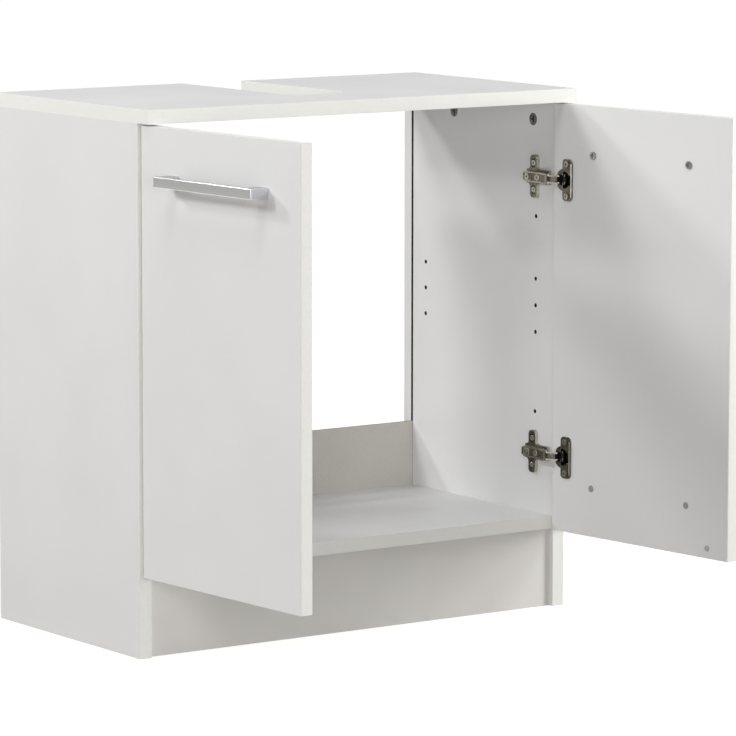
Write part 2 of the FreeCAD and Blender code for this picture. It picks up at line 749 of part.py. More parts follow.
def handle(side, up, placement):
    """A bow handle of flat bar: a front bar on two legs, tapped for a screw in each leg."""
    left = f"({DOOR_MIDDLE_X} - handle_length / 2)"
    right = f"({DOOR_MIDDLE_X} + handle_length / 2)"
    bar_front = f"({DOOR_FACE} - handle_projection)"
    bar_back = f"({bar_front} + handle_bar_thickness)"
    corners = [
        (left, DOOR_FACE),
        (left, bar_front),
        (right, bar_front),
        (right, DOOR_FACE),
        (f"{right} - handle_leg_width", DOOR_FACE),
        (f"{right} - handle_leg_width", bar_back),
        (f"{left} + handle_leg_width", bar_back),
        (f"{left} + handle_leg_width", DOOR_FACE),
    ]
    bar = profile(f"HandleBar_{side}", corners, "handle_height", f"{up} * {HANDLE_RISE} - handle_height / 2")
    round_edges(bar, [corners[1], corners[2]], "handle_edge_round")
    tools = []
    depth = "(handle_screw_bite + fit_gap)"
    for line in HOLE_LINES:
        place = (line, f"{DOOR_FACE} - {depth}", f"{up} * {HANDLE_RISE}")
        tools.append(rod("handle_screw_diameter + 2 * fit_gap", f"{depth} + {OVERSHOOT}", place, "y"))
    finish(cut(bar, tools), f"handle_{side}", placement)


def door_fittings(side, up, placement):
    """Handle screws, hole plugs and the soft bumper of one door."""
    screws, plugs = [], []
    for line in HOLE_LINES:
        rise = f"{up} * {HANDLE_RISE}"
        tip = (line, f"{DOOR_FACE} - handle_screw_bite", rise)
        shank = rod("handle_screw_diameter", "door_thickness + handle_screw_bite", tip, "y")
        head = rod("handle_screw_head_diameter", "handle_screw_head_height", (line, CUP_Y, rise), "y")
        face = (line, f"{CUP_Y} + handle_screw_head_height", rise)
        screws.append(cut(fuse([shank, head]), cross_recess(face, "handle_screw_cross", "y")))
        rise = f"{-up} * {HANDLE_RISE}"
        stem = rod("plug_diameter", "plug_depth", (line, f"{CUP_Y} - plug_depth", rise), "y")
        cap = rod("plug_cap_diameter", "plug_cap_height", (line, CUP_Y, rise), "y")
        plugs.append(fuse([stem, cap]))
    finish(group(screws), f"handle_screws_{side}", placement)
    finish(group(plugs), f"door_plugs_{side}", placement)
    across, rise = f"side_reveal + {DOOR_WIDTH} - bumper_inset", f"{-up} * ({DOOR_HEIGHT} / 2 - bumper_rise)"
    place = (across, CUP_Y, rise)
    finish(group([rod("bumper_diameter", "bumper_height", place, "y")]), f"door_bumper_{side}", placement)


# ---------------------------------------------------------------- hinge pieces, in the hinge's own frame


def hinge_cup(name, placement):
    """A cup sunk in the door: a round pot with a slot-shaped hollow, and a flange with a raised far rim."""
    pot = rod("cup_diameter - 2 * fit_gap", "cup_depth", (CUP_X, f"{CUP_Y} - cup_depth", "0"), "y")
    disc = rod("cup_diameter + 2 * cup_lip", "flange_thickness", (CUP_X, CUP_Y, "0"), "y")
    near = f"({CUP_X} + flange_near_edge)"
    corner = (near, CUP_Y, "0 - flange_length / 2")
    strip = rounded_plate(("flange_width", "flange_thickness", "flange_length"), corner, "flange_corner", "y")
    rim_length = "(flange_length - 2 * flange_corner)"
    rim = block(
        ("flange_rim", "flange_thickness + flange_rim_height", rim_length),
        (f"{near} + flange_width - flange_rim", CUP_Y, f"0 - {rim_length} / 2"),
    )
    bottom = f"{CUP_Y} - cup_depth + cup_wall"
    depth = f"cup_depth + flange_thickness + {OVERSHOOT}"
    bore = rod("cup_diameter - 2 * cup_wall", depth, (CUP_X, bottom, "0"), "y")
    slot_corner = (f"{CUP_X} - cup_diameter / 2", bottom, "0 - cup_slot_half_height")
    slot = block(("cup_diameter", depth, "2 * cup_slot_half_height"), slot_corner)
    mouth = rod("cup_mouth_diameter", depth, (CUP_X, bottom, "0"), "y")
    far_size = ("cup_diameter / 2 - flange_near_edge", depth, "cup_mouth_diameter")
    far_half = block(far_size, (near, bottom, "0 - cup_mouth_diameter / 2"))
    hollow = fuse([common(bore, slot), common(mouth, far_half)])
    way_out = block(
        (f"cup_diameter / 2 + {OVERSHOOT}", f"flange_thickness + {OVERSHOOT}", "2 * cup_slot_half_height"),
        (f"{CUP_X} - cup_diameter / 2 - {OVERSHOOT}", CUP_Y, "0 - cup_slot_half_height"),
    )
    tools = [hollow, way_out]
    for pin in ("outer_cup_pin", "inner_cup_pin"):
        place = (f"{CUP_X} + {pin}_across", f"{CUP_Y} + {pin}_back", "0 - cup_pin_reach")
        tools.append(rod("pin_diameter + 2 * running_gap", "2 * cup_pin_reach", place, "z"))
    through = f"flange_thickness + {2 * OVERSHOOT}"
    for way in "+-":
        place = (f"{CUP_X} + cup_screw_offset", f"{CUP_Y} - {OVERSHOOT}", f"0 {way} cup_screw_spacing / 2")
        tools.append(rod("cup_screw_diameter + 2 * fit_gap", through, place, "y"))
    finish(cut(fuse([pot, disc, strip, rim]), tools), name, placement)


def cup_pins(name, placement):
    """Stub pins for the outer link and a through pin for the inner link, held in the walls of the cup."""
    across, back = f"{CUP_X} + outer_cup_pin_across", f"{CUP_Y} + outer_cup_pin_back"
    length = "(cup_pin_reach - outer_link_inside)"
    upper = rod("pin_diameter", length, (across, back, "outer_link_inside"), "z")
    lower = rod("pin_diameter", length, (across, back, "0 - cup_pin_reach"), "z")
    place = (f"{CUP_X} + inner_cup_pin_across", f"{CUP_Y} + inner_cup_pin_back", "0 - cup_pin_reach")
    finish(group([upper, lower, rod("pin_diameter", "2 * cup_pin_reach", place, "z")]), name, placement)


def arm_pins(name, placement):
    """Stub pins for the outer link and a through pin for the inner link, held in the cheeks of the arm."""
    across, back = f"{CUP_X} + outer_arm_pin_across", f"{CUP_Y} + outer_arm_pin_back"
    length = "(arm_half_height - outer_link_inside)"
    upper = rod("pin_diameter", length, (across, back, "outer_link_inside"), "z")
    lower = rod("pin_diameter", length, (across, back, "0 - arm_half_height"), "z")
    place = (f"{CUP_X} + inner_arm_pin_across", f"{CUP_Y} + inner_arm_pin_back", "0 - arm_half_height")
    finish(group([upper, lower, rod("pin_diameter", "2 * arm_half_height", place, "z")]), name, placement)


RAIL_TOP = "(board_thickness + plate_rail_thickness)"
WEB_REAR = f"({RAIL_TOP} + fit_gap + arm_wall)"  # outer face of the arm's web over the plate
WEB_FRONT = f"({CUP_X} + outer_arm_pin_across + link_eye_radius + link_web_clearance + arm_wall)"
CHEEK_LOW = "(board_thickness + plate_wing_thickness + 2 * fit_gap)"
PLATE_SCREW_SEAT = "(board_thickness + plate_wing_thickness - plate_screw_head_height)"


def hinge_arm(name, placement):
    """A channel whose cheeks straddle the plate's rail, stepped up to a nose that holds the pins."""
    pin_x, pin_y = f"({CUP_X} + outer_arm_pin_across)", f"({CUP_Y} + outer_arm_pin_back)"
    rear_pin_y = f"({CUP_Y} + inner_arm_pin_back)"
    web_front = f"({pin_y} + arm_web_setback)"
    outer = [
        (CHEEK_LOW, "arm_rear_line"),
        (WEB_REAR, "arm_rear_line"),
        (WEB_REAR, "arm_step_rear_line"),
        (WEB_FRONT, "arm_step_front_line"),
        (WEB_FRONT, web_front),
        (f"{pin_x} - arm_nose_radius", web_front),
        (f"{pin_x} - arm_nose_radius", f"{rear_pin_y} + arm_nose_radius"),
        (CHEEK_LOW, "arm_step_rear_line"),
    ]
    whole = profile(f"ArmOutside_{name}", outer, "2 * arm_half_height", "0 - arm_half_height")
    nose = rod("2 * arm_nose_radius", "2 * arm_half_height", (pin_x, pin_y, "0 - arm_half_height"), "z")
    inside = [
        (f"{CHEEK_LOW} - {OPEN_PAST}", f"arm_rear_line + {OPEN_PAST}"),
        (f"{WEB_REAR} - arm_wall", f"arm_rear_line + {OPEN_PAST}"),
        (f"{WEB_REAR} - arm_wall", "arm_step_rear_line"),
        (f"{WEB_FRONT} - arm_wall", "arm_step_front_line"),
        (f"{WEB_FRONT} - arm_wall", f"{pin_y} - {OPEN_PAST}"),
        (f"{CHEEK_LOW} - {OPEN_PAST}", f"{pin_y} - {OPEN_PAST}"),
    ]
    hollow_half = "(arm_half_height - arm_wall)"
    hollow = profile(f"ArmInside_{name}", inside, f"2 * {hollow_half}", f"0 - {hollow_half}")
    fork = block(
        (f"arm_wall + {2 * OVERSHOOT}", f"arm_fork_depth + {OVERSHOOT}", "arm_fork_width"),
        (f"{WEB_REAR} - arm_wall - {OVERSHOOT}", "arm_rear_line - arm_fork_depth", "0 - arm_fork_width / 2"),
    )
    seat = rod(
        "adjusting_screw_diameter + 2 * fit_gap",
        f"arm_wall + {2 * OVERSHOOT}",
        (f"{WEB_REAR} - arm_wall - {OVERSHOOT}", "adjusting_screw_line", "0"),
        "x",
    )
    tools = [hollow, fork, seat]
    through = f"2 * arm_half_height + {2 * OVERSHOOT}"
    for across, back in ((pin_x, pin_y), (f"({CUP_X} + inner_arm_pin_across)", rear_pin_y)):
        place = (across, back, f"0 - arm_half_height - {OVERSHOOT}")
        tools.append(rod("pin_diameter + 2 * running_gap", through, place, "z"))
    finish(cut(fuse([whole, nose]), tools), name, placement)


def hinge_plate(name, placement):
    """A cross-shaped mounting plate: two wings with slots for the screws, and a rail that the arm sits on."""
    wing_corner = ("board_thickness", "front_hole_line - plate_wing_width / 2", "0 - plate_wing_length / 2")
    wing_size = ("plate_wing_thickness", "plate_wing_width", "plate_wing_length")
    wings = rounded_plate(wing_size, wing_corner, "plate_wing_corner", "x")
    length = "(plate_rail_rear_line - plate_rail_front_line)"
    foot = block(
        ("plate_wing_thickness", length, "2 * plate_foot_half_height"),
        ("board_thickness", "plate_rail_front_line", "0 - plate_foot_half_height"),
    )
    rail = block(
        ("plate_rail_thickness", length, "2 * plate_rail_half_height"),
        ("board_thickness", "plate_rail_front_line", "0 - plate_rail_half_height"),
    )
    tools = []
    through, sunk = f"plate_wing_thickness + {2 * OVERSHOOT}", f"plate_screw_head_height + {OVERSHOOT}"
    for way in "+-":
        rise = f"0 {way} plate_screw_spacing / 2"
        place = (f"board_thickness - {OVERSHOOT}", "front_hole_line", rise)
        tools += oblong("plate_screw_diameter + 2 * fit_gap", "plate_slot_travel", through, place)
        place = (PLATE_SCREW_SEAT, "front_hole_line", rise)
        tools += oblong("plate_screw_head_diameter + 2 * fit_gap", "plate_slot_travel", sunk, place)
    for line, diameter, depth in (
        ("fixing_screw_line", "fixing_screw_diameter", "fixing_screw_bite"),
        ("adjusting_screw_line", "adjusting_screw_diameter", "adjusting_screw_length"),
    ):
        place = (f"{RAIL_TOP} - {depth} - fit_gap", line, "0")
        tools.append(rod(f"{diameter} + 2 * fit_gap", f"{depth} + fit_gap + {OVERSHOOT}", place, "x"))
    finish(cut(fuse([wings, foot, rail]), tools), name, placement)


def plate_screw(way):
    """One flat-headed screw, sunk in a wing of the plate, into the side panel."""
    line, rise = "front_hole_line", f"0 {way} plate_screw_spacing / 2"
    tip = (f"{PLATE_SCREW_SEAT} - plate_screw_length", line, rise)
    shank = rod("plate_screw_diameter", "plate_screw_length", tip, "x")
    head = rod("plate_screw_head_diameter", "plate_screw_head_height", (PLATE_SCREW_SEAT, line, rise), "x")
    face = (f"{PLATE_SCREW_SEAT} + plate_screw_head_height", line, rise)
    return cut(fuse([shank, head]), cross_recess(face, "plate_screw_cross", "x"))


def cup_screw(way):
    """One flat-headed screw through the cup's flange into the door."""
    across, rise = f"{CUP_X} + cup_screw_offset", f"0 {way} cup_screw_spacing / 2"
    tip = (across, f"{CUP_Y} - cup_screw_length", rise)
    shank = rod("cup_screw_diameter", "cup_screw_length + flange_thickness", tip, "y")
    seat = (across, f"{CUP_Y} + flange_thickness", rise)
    head = rod("cup_screw_head_diameter", "cup_screw_head_height", seat, "y")
    face = (across, f"{CUP_Y} + flange_thickness + cup_screw_head_height", rise)
    return cut(fuse([shank, head]), cross_recess(face, "cup_screw_cross", "y"))


def fixing_screw():
    """The screw that clamps the forked rear of the arm on the plate's rail."""
    tip = (f"{RAIL_TOP} - fixing_screw_bite", "fixing_screw_line", "0")
    shank = rod("fixing_screw_diameter", f"fixing_screw_bite + {WEB_REAR} - {RAIL_TOP}", tip, "x")
    seat = (WEB_REAR, "fixing_screw_line", "0")
    head = rod("fixing_screw_head_diameter", "fixing_screw_head_height", seat, "x")
    face = (f"{WEB_REAR} + fixing_screw_head_height", "fixing_screw_line", "0")
    return cut(fuse([shank, head]), cross_recess(face, "fixing_screw_cross", "x"))


def adjusting_screw():
    """The headless screw in the arm's web that sets the door sideways."""
    top = f"({WEB_REAR} - adjusting_screw_sink)"
    tip = (f"{top} - adjusting_screw_length", "adjusting_screw_line", "0")
    shank = rod("adjusting_screw_diameter", "adjusting_screw_length", tip, "x")
    return cut(shank, cross_recess((top, "adjusting_screw_line", "0"), "adjusting_screw_cross", "x"))


def placed(item, placement):
    """Put an object in its place without listing it."""
    item.Placement = placement.multiply(item.Placement)
    return item


def hinges_and_doors():
    """Both doors with all that they carry, and the four hinges."""
    plate_screws, fixing_screws, adjusting_screws = [], [], []
    door_middle = value(f"plinth_height + {DOOR_HEIGHT} / 2")
    for side, up in (("left", 1), ("right", -1)):
        opening = value(f"{side}_door_angle")
        motion = door_motion(opening)
        placement = frame_of(side, door_middle).multiply(motion)
        door(side, up, placement)
        handle(side, up, placement)
        door_fittings(side, up, placement)
        cup_screws = []
        for level, height in (("lower", value(LOWER_HINGE)), ("upper", value(UPPER_HINGE))):
            tag = f"{side}_{level}"
            fixed = frame_of(side, height)
            swung = fixed.multiply(motion)
            hinge_plate(f"hinge_plate_{tag}", fixed)
            hinge_arm(f"hinge_arm_{tag}", fixed)
            arm_pins(f"arm_pins_{tag}", fixed)
            hinge_cup(f"hinge_cup_{tag}", swung)
            cup_pins(f"cup_pins_{tag}", swung)
            outer_link(f"outer_link_{tag}", fixed.multiply(outer_link_motion(opening)))
            inner_link(f"inner_link_{tag}", fixed.multiply(inner_link_motion(opening)))
            plate_screws += [placed(plate_screw(way), fixed) for way in "+-"]
            fixing_screws.append(placed(fixing_screw(), fixed))
            adjusting_screws.append(placed(adjusting_screw(), fixed))
            cup_screws += [placed(cup_screw(way), swung) for way in "+-"]
        finish(group(cup_screws), f"cup_screws_{side}")
    finish(group(plate_screws), "plate_screws")
    finish(group(fixing_screws), "arm_fixing_screws")
    finish(group(adjusting_screws), "side_adjusting_screws")


def write_parts():
    """Check every object and write each sub-part's solids."""
    doc.recompute()
    for item in doc.Objects:
        if "Invalid" in item.State or "Error" in item.State:
            raise RuntimeError(f"{item.Label} failed: {item.State}")
    os.makedirs("parts", exist_ok=True)
    for item in finished:
        if item.Shape.isNull() or not item.Shape.isValid():
            raise RuntimeError(f"{item.Label} has no valid shape")
        item.Shape.exportStep(f"parts/{item.Label}.step")
    print(len(finished), "sub-parts written")


sides()
top_panel()
bottom_and_plinth()
back_rail()
cams_and_dowels()
hinges_and_doors()
write_parts()
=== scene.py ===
"""Washbasin base cabinet: the looks of every part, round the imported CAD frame.

Lengths are in metres, in the frame of the CAD model: X to the right, Y to the back, Z up,
with the origin on the floor under the middle of the plinth.
"""

from __future__ import annotations

import json
import logging
import math
from collections.abc import Callable
from dataclasses import dataclass, field
from enum import Enum

import bmesh
import bpy
from mathutils import Matrix, Vector
from mathutils.bvhtree import BVHTree

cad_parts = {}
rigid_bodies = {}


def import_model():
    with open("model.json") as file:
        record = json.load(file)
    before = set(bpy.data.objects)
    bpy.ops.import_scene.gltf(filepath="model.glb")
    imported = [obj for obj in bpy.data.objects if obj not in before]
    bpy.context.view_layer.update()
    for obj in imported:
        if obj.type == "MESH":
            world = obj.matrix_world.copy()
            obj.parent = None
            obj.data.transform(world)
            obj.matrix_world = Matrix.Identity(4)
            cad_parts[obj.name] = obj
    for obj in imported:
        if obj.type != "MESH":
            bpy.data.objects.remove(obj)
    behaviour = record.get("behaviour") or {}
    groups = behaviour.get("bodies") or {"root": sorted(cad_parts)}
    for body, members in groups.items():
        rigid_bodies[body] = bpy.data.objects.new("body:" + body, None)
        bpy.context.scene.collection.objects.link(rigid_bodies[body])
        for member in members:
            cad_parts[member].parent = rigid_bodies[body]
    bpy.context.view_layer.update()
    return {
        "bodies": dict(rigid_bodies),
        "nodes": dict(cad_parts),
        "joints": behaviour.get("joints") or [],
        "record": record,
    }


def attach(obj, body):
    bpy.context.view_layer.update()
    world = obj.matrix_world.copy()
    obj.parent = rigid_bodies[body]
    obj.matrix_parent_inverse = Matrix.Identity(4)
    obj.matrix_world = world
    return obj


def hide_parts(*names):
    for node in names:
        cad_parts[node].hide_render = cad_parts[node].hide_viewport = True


log = logging.getLogger("cabinet")

MM = 0.001
SIDES = ("left", "right")
LEVELS = ("lower", "upper")
BEVEL_WEIGHT = "bevel_weight_edge"
WHITE = (1.0, 1.0, 1.0, 1.0)
MERGE_DISTANCE = 0.000004
FLAT_WITHIN = 0.6  # degrees between faces that are joined to one
SMOOTH_UNDER = 35.0  # degrees between faces that shade as one
CORNER_TURN = 1.2  # radians between the faces of a true corner
SINK_SLOPE = 0.4  # how far the wall of a pressed face leans in, for its depth
HOLLOW_RAYS = 12
HOLLOW_LEANS = (1.0, 0.35)  # how far the rays of a face lean aside, in turn
HOLLOW_LIFT = 0.01  # millimetres from a face to where its rays start


# ------------------------------------------------------------------ shader arithmetic


class Signal:
    """A socket or number in a material, with the arithmetic that shader maths needs."""

    def __init__(self, craft: "NodeCraft", source: bpy.types.NodeSocket) -> None:
        """Wrap a socket of a node tree."""
        self.craft = craft
        self.source = source

    def _math(self, operation: str, first: object, second: object) -> "Signal":
        """Add a Math node for two operands."""
        return self.craft.add("ShaderNodeMath", {"operation": operation}, {0: first, 1: second})

    def __add__(self, other: object) -> "Signal":
        """Return the sum."""
        return self._math("ADD", self, other)

    def __radd__(self, other: object) -> "Signal":
        """Return the sum, with the signal second."""
        return self._math("ADD", other, self)

    def __sub__(self, other: object) -> "Signal":
        """Return the difference."""
        return self._math("SUBTRACT", self, other)

    def __rsub__(self, other: object) -> "Signal":
        """Return the difference, with the signal second."""
        return self._math("SUBTRACT", other, self)

    def __mul__(self, other: object) -> "Signal":
        """Return the product."""
        return self._math("MULTIPLY", self, other)

    def __rmul__(self, other: object) -> "Signal":
        """Return the product, with the signal second."""
        return self._math("MULTIPLY", other, self)


class NodeCraft:
    """Adds nodes to one material or world."""

    def __init__(self, tree: bpy.types.NodeTree) -> None:
        """Start with an empty tree."""
        self.tree = tree
        tree.nodes.clear()

    def add(
        self,
        kind: str,
        settings: dict[str, object] | None = None,
        inputs: dict[int | str, object] | None = None,
        output: int | str = 0,
    ) -> Signal:
        """Add a node.

        Args:
            kind: the node's type.
            settings: properties to set first.
            inputs: values or signals, by socket name or number.
            output: the socket to hand back.

        Returns:
            The chosen output.
        """
        node = self.tree.nodes.new(kind)
        for name, value in (settings or {}).items():
            setattr(node, name, value)
        for name, value in (inputs or {}).items():
            if isinstance(value, Signal):
                self.tree.links.new(value.source, node.inputs[name])
            else:
                node.inputs[name].default_value = value
        return Signal(self, node.outputs[output] if len(node.outputs) else node.inputs[0])

    def place(self) -> Signal:
        """Return the object coordinates."""
        return self.add("ShaderNodeTexCoord", output="Object")

    def noise(self, place: Signal, scale: float, detail: float = 2.0, roughness: float = 0.5) -> Signal:
        """Return a noise value from 0 to 1 about a half."""
        values = {"Vector": place, "Scale": scale, "Detail": detail, "Roughness": roughness}
        return self.add("ShaderNodeTexNoise", inputs=values, output=0)

    def stretched(self, place: Signal, scale: tuple[float, float, float]) -> Signal:
        """Return coordinates scaled by a different amount along each axis."""
        return self.add("ShaderNodeVectorMath", {"operation": "MULTIPLY"}, {0: place, 1: scale})

    def blend(self, amount: object, first: object, second: object) -> Signal:
        """Mix two colours."""
        settings = {"data_type": "RGBA", "clamp_factor": True}
        return self.add("ShaderNodeMix", settings, {0: amount, 6: first, 7: second}, output=2)

    def band(
        self, value: object, low: float, high: float, first: float = 0.0, last: float = 1.0
    ) -> Signal:
        """Map a value from low..high to first..last, clamped."""
        values = {0: value, 1: low, 2: high, 3: first, 4: last}
        return self.add("ShaderNodeMapRange", {"clamp": True}, values)

    def bump(self, height: Signal, distance: float, strength: float = 1.0) -> Signal:
        """Return a normal bent by a height."""
        values = {"Strength": strength, "Distance": distance, "Height": height}
        return self.add("ShaderNodeBump", inputs=values)


def rgba(red: float, green: float, blue: float) -> tuple[float, float, float, float]:
    """Return a linear colour from display values.

    Args:
        red: the red channel, from 0 to 255.
        green: the green channel.
        blue: the blue channel.

    Returns:
        The colour for a socket, fully opaque.
    """

    def linear(value: float) -> float:
        """Undo the display curve of one channel."""
        unit = value / 255
        return unit / 12.92 if unit <= 0.04045 else ((unit + 0.055) / 1.055) ** 2.4

    return (linear(red), linear(green), linear(blue), 1.0)


# ------------------------------------------------------------------ finishes


@dataclass(frozen=True)
class Finish:
    """A finish with one even colour; the others build on it."""

    name: str
    colour: tuple[float, float, float, float]
    roughness: float = 0.5
    metallic: float = 0.0
    coat: float = 0.0

    def material(self) -> bpy.types.Material:
        """Make this finish's material, or find it if it is made already.

        Returns:
            The one material of this name.
        """
        known = bpy.data.materials.get(self.name)
        if known:
            return known
        material = bpy.data.materials.new(self.name)
        material.use_nodes = True
        craft = NodeCraft(material.node_tree)
        sockets = {
            "Base Color": self.colour,
            "Roughness": self.roughness,
            "Metallic": self.metallic,
            "Coat Weight": self.coat,
        }
        sockets.update(self.detail(craft))
        shader = craft.add("ShaderNodeBsdfPrincipled", inputs=sockets)
        craft.add("ShaderNodeOutputMaterial", inputs={"Surface": shader})
        return material

    def detail(self, craft: NodeCraft) -> dict[str, object]:
        """Return what changes over the surface, by socket."""
        return {}

    def spread(self, below: float, above: float) -> tuple[float, float]:
        """Return the lowest and highest roughness of an uneven gloss."""
        return self.roughness - below, self.roughness + above


@dataclass(frozen=True)
class Melamine(Finish):
    """White foil pressed on board: nearly even, with a fine pebbled grain and faint cloudiness."""

    grain: float = 0.00002
    cloud: tuple[float, float, float, float] = (0.7, 0.7, 0.7, 1.0)
    cloud_scale: float = 7.0
    pebble_scale: float = 1400.0
    swell_scale: float = 45.0

    def detail(self, craft: NodeCraft) -> dict[str, object]:
        """Build cloudy colour, slightly uneven gloss and a pebbled bump.

        Args:
            craft: adds the nodes.

        Returns:
            The values by socket.
        """
        place = craft.place()
        clouds = craft.noise(place, self.cloud_scale, 3.0)
        pebbles = craft.noise(place, self.pebble_scale, 1.0)
        swell = craft.noise(place, self.swell_scale, 2.0)
        gloss = craft.band(clouds + swell * 0.4, 0.4, 1.0, *self.spread(0.04, 0.05))
        height = pebbles + swell * 1.5
        return {
            "Base Color": craft.blend(craft.band(clouds, 0.35, 0.65), self.colour, self.cloud),
            "Roughness": gloss,
            "Normal": craft.bump(height, self.grain),
        }


@dataclass(frozen=True)
class EdgeBand(Finish):
    """Plastic edging: a touch warmer and glossier than the foil, with faint scuffs."""

    marked: tuple[float, float, float, float] = (0.7, 0.7, 0.7, 1.0)
    scuff_scale: float = 260.0
    ripple_scale: float = 120.0
    ripple_height: float = 0.00003

    def detail(self, craft: NodeCraft) -> dict[str, object]:
        """Build faint scuffs and a low ripple.

        Args:
            craft: adds the nodes.

        Returns:
            The values by socket.
        """
        place = craft.place()
        scuffs = craft.noise(place, self.scuff_scale, 3.0)
        ripple = craft.noise(place, self.ripple_scale, 1.0)
        return {
            "Base Color": craft.blend(craft.band(scuffs, 0.5, 0.8), self.colour, self.marked),
            "Roughness": craft.band(ripple, 0.3, 0.7, *self.spread(0.05, 0.05)),
            "Normal": craft.bump(ripple, self.ripple_height),
        }


@dataclass(frozen=True)
class Chipboard(Finish):
    """Raw board core, seen in holes and grooves: chips of several browns."""

    dark: tuple[float, float, float, float] = (0.1, 0.06, 0.03, 1.0)
    chip_scale: tuple[float, float, float] = (900.0, 500.0, 500.0)
    fibre_scale: float = 1800.0
    chip_height: float = 0.0002

    def detail(self, craft: NodeCraft) -> dict[str, object]:
        """Build chips in two browns with a rough surface.

        Args:
            craft: adds the nodes.

        Returns:
            The values by socket.
        """
        place = craft.place()
        inputs = {"Vector": craft.stretched(place, self.chip_scale), "Scale": 1.0}
        chips = craft.add("ShaderNodeTexVoronoi", {"feature": "F1"}, inputs)
        fibre = craft.noise(place, self.fibre_scale, 2.0)
        return {
            "Base Color": craft.blend(craft.band(chips, 0.2, 0.8), self.dark, self.colour),
            "Normal": craft.bump(chips + fibre, self.chip_height),
        }


@dataclass(frozen=True)
class Hardboard(Finish):
    """Thin pressed board: a painted face with fine fibres."""

    fibre: tuple[float, float, float, float] = (0.5, 0.5, 0.5, 1.0)
    fibre_scale: float = 600.0
    cloud_scale: float = 20.0
    fibre_height: float = 0.00006

    def detail(self, craft: NodeCraft) -> dict[str, object]:
        """Build short fibres in every direction.

        Args:
            craft: adds the nodes.

        Returns:
            The values by socket.
        """
        place = craft.place()
        fibres = craft.noise(place, self.fibre_scale, 4.0, 0.7)
        clouds = craft.noise(place, self.cloud_scale, 2.0)
        amount = craft.band(fibres + clouds * 0.3, 0.55, 0.85)
        return {
            "Base Color": craft.blend(amount, self.colour, self.fibre),
            "Normal": craft.bump(fibres, self.fibre_height),
        }


@dataclass(frozen=True)
class BrushedMetal(Finish):
    """Metal drawn along one direction: fine long streaks in gloss and colour."""

    streak: tuple[float, float, float, float] = (0.5, 0.5, 0.5, 1.0)
    scale: tuple[float, float, float] = (2500.0, 30.0, 2500.0)
    cloud_scale: float = 60.0
    streak_height: float = 0.00001

    def detail(self, craft: NodeCraft) -> dict[str, object]:
        """Build streaks along the drawn direction.

        Args:
            craft: adds the nodes.

        Returns:
            The values by socket.
        """
        place = craft.place()
        streaks = craft.noise(craft.stretched(place, self.scale), 1.0, 3.0, 0.6)
        clouds = craft.noise(place, self.cloud_scale, 2.0)
        return {
            "Base Color": craft.blend(craft.band(streaks, 0.3, 0.7), self.colour, self.streak),
            "Roughness": craft.band(streaks + clouds * 0.5, 0.4, 1.1, *self.spread(0.08, 0.1)),
            "Normal": craft.bump(streaks, self.streak_height),
        }


@dataclass(frozen=True)
class PlatedMetal(Finish):
    """Nickel or zinc plating: soft dark and light patches, small tumbling marks."""

    patch: tuple[float, float, float, float] = (0.5, 0.5, 0.5, 1.0)
    marks: float = 0.00003
    patch_scale: float = 160.0
    mark_scale: float = 1500.0

    def detail(self, craft: NodeCraft) -> dict[str, object]:
        """Build patches, tumbling marks and uneven gloss.

        Args:
            craft: adds the nodes.

        Returns:
            The values by socket.
        """
        place = craft.place()
        patches = craft.noise(place, self.patch_scale, 3.0)
        tumbling = craft.noise(place, self.mark_scale, 2.0)
        return {
            "Base Color": craft.blend(craft.band(patches, 0.35, 0.65), self.colour, self.patch),
            "Roughness": craft.band(patches + tumbling * 0.5, 0.5, 1.0, *self.spread(0.07, 0.12)),
            "Normal": craft.bump(tumbling + patches, self.marks),
        }


@dataclass(frozen=True)
class MouldedPlastic(Finish):
    """Small moulded parts: even colour with a light texture."""

    texture_scale: float = 2200.0
    texture_height: float = 0.00003

    def detail(self, craft: NodeCraft) -> dict[str, object]:
        """Build a light moulded texture.

        Args:
            craft: adds the nodes.

        Returns:
            The values by socket.
        """
        texture = craft.noise(craft.place(), self.texture_scale, 2.0)
        return {
            "Roughness": craft.band(texture, 0.3, 0.7, *self.spread(0.05, 0.08)),
            "Normal": craft.bump(texture, self.texture_height),
        }


@dataclass(frozen=True)
class TurnedWood(Finish):
    """Beech dowels: short brown pores along the grain."""

    pore: tuple[float, float, float, float] = (0.2, 0.1, 0.05, 1.0)
    grain_scale: tuple[float, float, float] = (90.0, 900.0, 900.0)
    pore_depth: float = 0.00008

    def detail(self, craft: NodeCraft) -> dict[str, object]:
        """Build grain and pores along X.

        Args:
            craft: adds the nodes.

        Returns:
            The values by socket.
        """
        grain = craft.noise(craft.stretched(craft.place(), self.grain_scale), 1.0, 3.0)
        return {
            "Base Color": craft.blend(craft.band(grain, 0.45, 0.7), self.colour, self.pore),
            "Normal": craft.bump(grain, self.pore_depth),
        }


WHITE_FOIL = Melamine("white_foil", rgba(231, 231, 231), 0.42, cloud=rgba(228, 228, 228))
TOP_FOIL = Melamine("top_foil", rgba(221, 220, 220), 0.45, cloud=rgba(217, 216, 216))
PLINTH_FOIL = Melamine("plinth_foil", rgba(224, 222, 218), 0.5, cloud=rgba(217, 215, 211))
WHITE_BAND = EdgeBand("white_edge_band", rgba(240, 240, 236), 0.34, marked=rgba(236, 236, 232))
BOARD_CORE = Chipboard("board_core", rgba(188, 160, 120), 0.85, dark=rgba(132, 102, 66))
# The walls of drilled holes: board core painted dark with the shade inside the holes.
BORE_SHADE_CORE = Chipboard("bore_core_painted_shade", rgba(62, 52, 42), 0.9, dark=rgba(30, 25, 20))
RAIL_FACE = Hardboard("rail_white_face", rgba(207, 203, 197), 0.55, fibre=rgba(199, 195, 188))
RAIL_BACK = Hardboard("rail_raw_back", rgba(134, 98, 62), 0.75, fibre=rgba(98, 68, 40))
HANDLE_METAL = BrushedMetal(
    "satin_handle", rgba(162, 162, 161), 0.34,
    metallic=0.9, streak=rgba(153, 153, 152),
)
